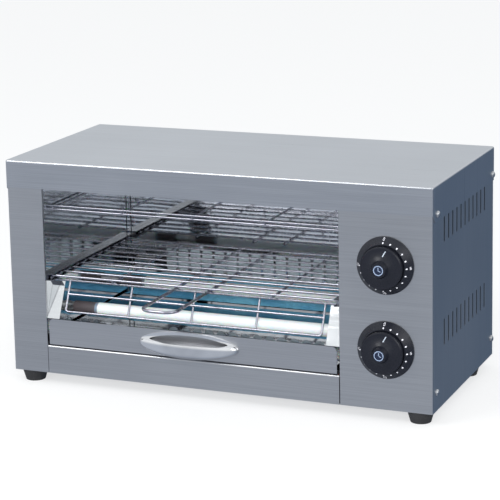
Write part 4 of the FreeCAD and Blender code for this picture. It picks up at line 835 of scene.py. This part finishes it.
@dataclass
class Studio:
    """World, lamps, floor and camera."""

    camera_place: Point = (0.7489, -1.77085, 0.6153)
    right: Point = (0.92438, 0.381, -0.01919)
    down: Point = (0.05749, -0.18886, -0.98032)
    ahead: Point = (-0.37713, 0.90508, -0.19648)
    lens: float = 141.14
    lens_rise: float = -0.18
    sensor: float = 36.0
    clip: tuple[float, float] = (0.05, 50.0)
    above: Colour = (0.89, 0.92, 0.94)
    front_low: Colour = (0.43, 0.47, 0.54)
    back_low: Colour = (0.10, 0.145, 0.22)
    backwards: Point = (0.41, 0.91, 0.0)
    backward_span: tuple[float, float] = (-0.5, 0.9)
    horizon_span: tuple[float, float] = (-0.12, 0.36)
    floor_half: float = 6.0
    floor_white: float = 0.6
    aim: Point = (0.0, 0.0, 0.1)
    lamps: tuple[Lamp, ...] = (Lamp("key_lamp", (-0.9, -1.4, 1.5), 0.9, 14.0),
                               Lamp("fill_lamp", (1.5, -0.9, 1.0), 0.8, 5.0),
                               Lamp("front_lamp", (0.8, -1.9, 0.75), 0.35, 24.0, False))

    def build_camera(self) -> None:
        """Places the camera that was fitted to the photograph's edges."""
        data = bpy.data.cameras.new("photo_camera")
        data.sensor_width = self.sensor
        data.lens = self.lens
        data.shift_y = self.lens_rise
        data.clip_start, data.clip_end = self.clip
        camera = bpy.data.objects.new("photo_camera", data)
        columns = (Vector(self.right), -Vector(self.down), -Vector(self.ahead))
        turn = Matrix([[columns[j][i] for j in range(3)] for i in range(3)])
        camera.matrix_world = Matrix.Translation(self.camera_place) @ turn.to_4x4()
        bpy.context.scene.collection.objects.link(camera)
        bpy.context.scene.camera = camera

    def build_world(self) -> None:
        """A pale room: white above, blue-grey below the horizon in front and darker behind."""
        world = bpy.data.worlds.new("studio")
        bpy.context.scene.world = world
        world.use_nodes = True
        world.node_tree.nodes.clear()
        sky = Nodes(world.node_tree)
        direction = sky.node("ShaderNodeTexCoord").outputs["Generated"]
        behind = sky.node("ShaderNodeVectorMath", operation="DOT_PRODUCT")
        sky.feed(behind.inputs[0], direction)
        behind.inputs[1].default_value = self.backwards
        low = sky.mix(sky.ramp(behind.outputs["Value"], *self.backward_span), self.front_low, self.back_low)
        room = sky.mix(sky.ramp(sky.axis(direction, "Z"), *self.horizon_span), low, self.above)
        shown = sky.node("ShaderNodeBackground")
        sky.feed(shown.inputs["Color"], (1.0, 1.0, 1.0))
        lit = sky.node("ShaderNodeBackground")
        sky.feed(lit.inputs["Color"], room)
        choice = sky.node("ShaderNodeMixShader")
        camera_ray = sky.node("ShaderNodeLightPath").outputs["Is Camera Ray"]
        for number, source in enumerate((camera_ray, lit.outputs["Background"], shown.outputs["Background"])):
            sky.feed(choice.inputs[number], source)
        output = sky.node("ShaderNodeOutputWorld")
        sky.feed(output.inputs["Surface"], choice.outputs["Shader"])

    def build_floor(self) -> None:
        """A pale floor that shows white away from the toaster and keeps its shadow."""
        recipe = Recipe.new("pale_floor")
        recipe.set(base_color=(0.9, 0.9, 0.9), roughness=0.9)
        white = recipe.node("ShaderNodeEmission")
        rays = recipe.node("ShaderNodeLightPath")
        seen = recipe.math("MULTIPLY", rays.outputs["Is Camera Ray"], self.floor_white)
        blend = recipe.node("ShaderNodeMixShader")
        recipe.feed(blend.inputs[0], seen)
        recipe.feed(blend.inputs[1], recipe.shader.outputs["BSDF"])
        recipe.feed(blend.inputs[2], white.outputs["Emission"])
        recipe.feed(recipe.output.inputs["Surface"], blend.outputs["Shader"])
        half = self.floor_half
        corners = np.array([[-half, -half, 0.0], [half, -half, 0.0], [half, half, 0.0], [-half, half, 0.0]])
        floor = make_object("floor", Surface(corners, np.array([[0, 1, 2, 3]]), False), recipe.material)
        floor.visible_glossy = False

    def build_lamps(self) -> None:
        """Soft boxes: high at the front left, at the right, and one near the camera that no metal mirrors."""
        for lamp in self.lamps:
            data = bpy.data.lights.new(lamp.name, "AREA")
            data.size = lamp.size
            data.energy = lamp.power
            box = bpy.data.objects.new(lamp.name, data)
            box.visible_glossy = lamp.mirrored
            box.location = lamp.place
            box.rotation_mode = "QUATERNION"
            box.rotation_quaternion = (Vector(self.aim) - Vector(lamp.place)).to_track_quat("-Z", "Y")
            bpy.context.scene.collection.objects.link(box)

    def build(self) -> None:
        """Builds everything that isn't the toaster."""
        self.build_camera()
        self.build_world()
        self.build_floor()
        self.build_lamps()
        bpy.context.scene.view_settings.view_transform = "Standard"


def clear_scene() -> None:
    """Removes what Blender starts with."""
    for thing in list(bpy.data.objects):
        bpy.data.objects.remove(thing)


def main() -> None:
    """Builds the dressed toaster and its studio."""
    logging.basicConfig(level=logging.INFO)
    clear_scene()
    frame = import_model()
    palette = Palette()
    palette.dress_nodes(frame)
    HeatingTubes().build(palette)
    for label in ("upper", "lower"):
        Timer(label).build()
    Studio().build()


if __name__ == "__main__":
    main()
